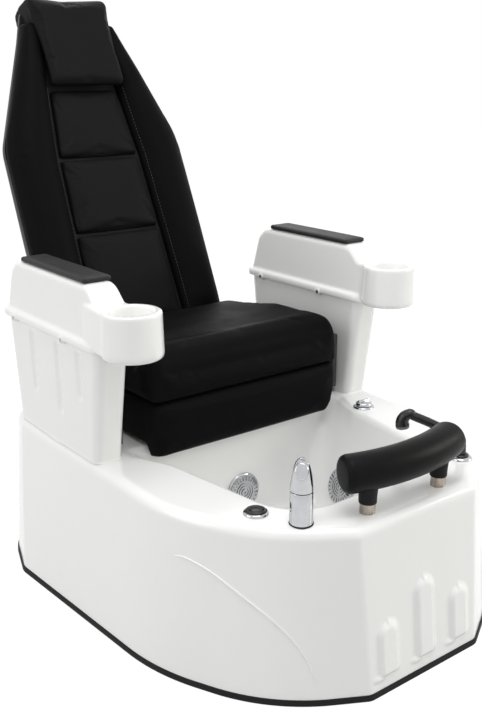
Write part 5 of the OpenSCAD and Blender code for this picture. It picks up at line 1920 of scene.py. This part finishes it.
    def jet_cover(self) -> bmesh.types.BMesh:
        """A dished cover with round grooves and a ring of radial slots.

        Returns:
            The mesh, which looks up.
        """
        cover = lathe([(0, 6.0), (3.4, 6.0), (3.8, 8.2), (8.6, 8.4), (9.0, 6.0), (10.8, 6.0), (11.2, 8.1),
                       (15.6, 7.9), (16.0, 5.6), (18.0, 5.6), (18.4, 7.7), (22.4, 7.4), (22.8, 5.2),
                       (24.8, 5.2), (25.2, 7.2), (28.8, 7.0), (41.8, 5.8), (45.6, 4.2), (47.5, 2.0),
                       (47.5, 0.4), (0, 0.4)], self.round_steps)
        slots = [f for f in cover.faces
                 if 30 * MM < reach(f) < 40 * MM and f.normal.z > 0.5 and sector(f, 3.75) % 4 < 2]
        bmesh.ops.inset_region(cover, faces=slots, thickness=0.5 * MM, depth=0)
        bmesh.ops.inset_region(cover, faces=slots, thickness=0.1 * MM, depth=-2.6 * MM)
        return cover

    def jets(self) -> None:
        """The jet covers in the rear wall and the two side walls of the basin, square to each wall."""
        rear = Matrix.Translation(place(0, self.jet_rear, self.jet_height + 5)) \
            @ Matrix.Rotation(math.radians(86.5), 4, "X")
        piece("jet_cover_rear", moved(self.jet_cover(), rear), CHROME, Body.BASE, "chrome", "jet_rear",
              sharp=30.0)
        for side in Side:
            turn = Matrix.Rotation(math.radians(-6.1) * side.value, 4, "Z") \
                @ Matrix.Rotation(math.radians(-75.2) * side.value, 4, "Y")
            spot = place(self.jet_side[0] * side.value, self.jet_side[1], self.jet_height)
            made = moved(self.jet_cover(), Matrix.Translation(spot) @ turn)
            piece(f"jet_cover_{side.label}", made, CHROME, Body.BASE, "chrome", f"jet_{side.label}",
                  sharp=30.0)


# ---------- what stays as it was built ----------


@dataclass
class Chassis:
    """The frame, the mechanism, the pipes and the small hardware, which keep their solid shapes."""

    finishes: ClassVar[dict[str, Finish]] = {
        "base_frame": POWDER_COAT, "levelling_feet": RUBBER, "access_panel": GEL_COAT,
        "seat_pedestal": POWDER_COAT, "slide_rails": ZINC, "side_brackets": POWDER_COAT,
        "arm_cap_screws": ZINC, "mixer_gasket": RUBBER, "drain_flange": CHROME, "jet_pump": GREY_PLASTIC,
        "pipework": PIPE_PLASTIC, "control_box": GREY_PLASTIC, "slide_carriage": ZINC,
        "seat_pan": POWDER_COAT, "recline_brackets": ZINC, "recline_actuator": BLACK_PLASTIC,
        "actuator_rod": CHROME, "back_board": PLY, "recline_arms": POWDER_COAT, "hinge_pins": ZINC,
        "drain_plug": CHROME,
    }

    def dress(self) -> None:
        """Gives each of the shapes its finish."""
        for name, finish in self.finishes.items():
            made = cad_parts[name]  # its mesh and its slots both get the finish
            if not made.data.materials:
                made.data.materials.append(finish.material())
            for index in range(len(made.data.materials)):
                made.data.materials[index] = finish.material()
            for held in made.material_slots:
                held.material = finish.material()
            LOG.info("%s: %s", name, finish.name)


def main() -> None:
    """Builds the studio and the chair."""
    logging.basicConfig(level=logging.INFO, format="%(name)s: %(message)s")
    Studio().build()
    base = BaseMoulding()
    base.build()
    KickStrip().build(base)
    for side in Side:
        ArmRest(side).build()
    Seat().build()
    BackRest().build()
    Footrest().build()
    Fittings().build()
    Chassis().dress()


if __name__ == "__main__":
    main()
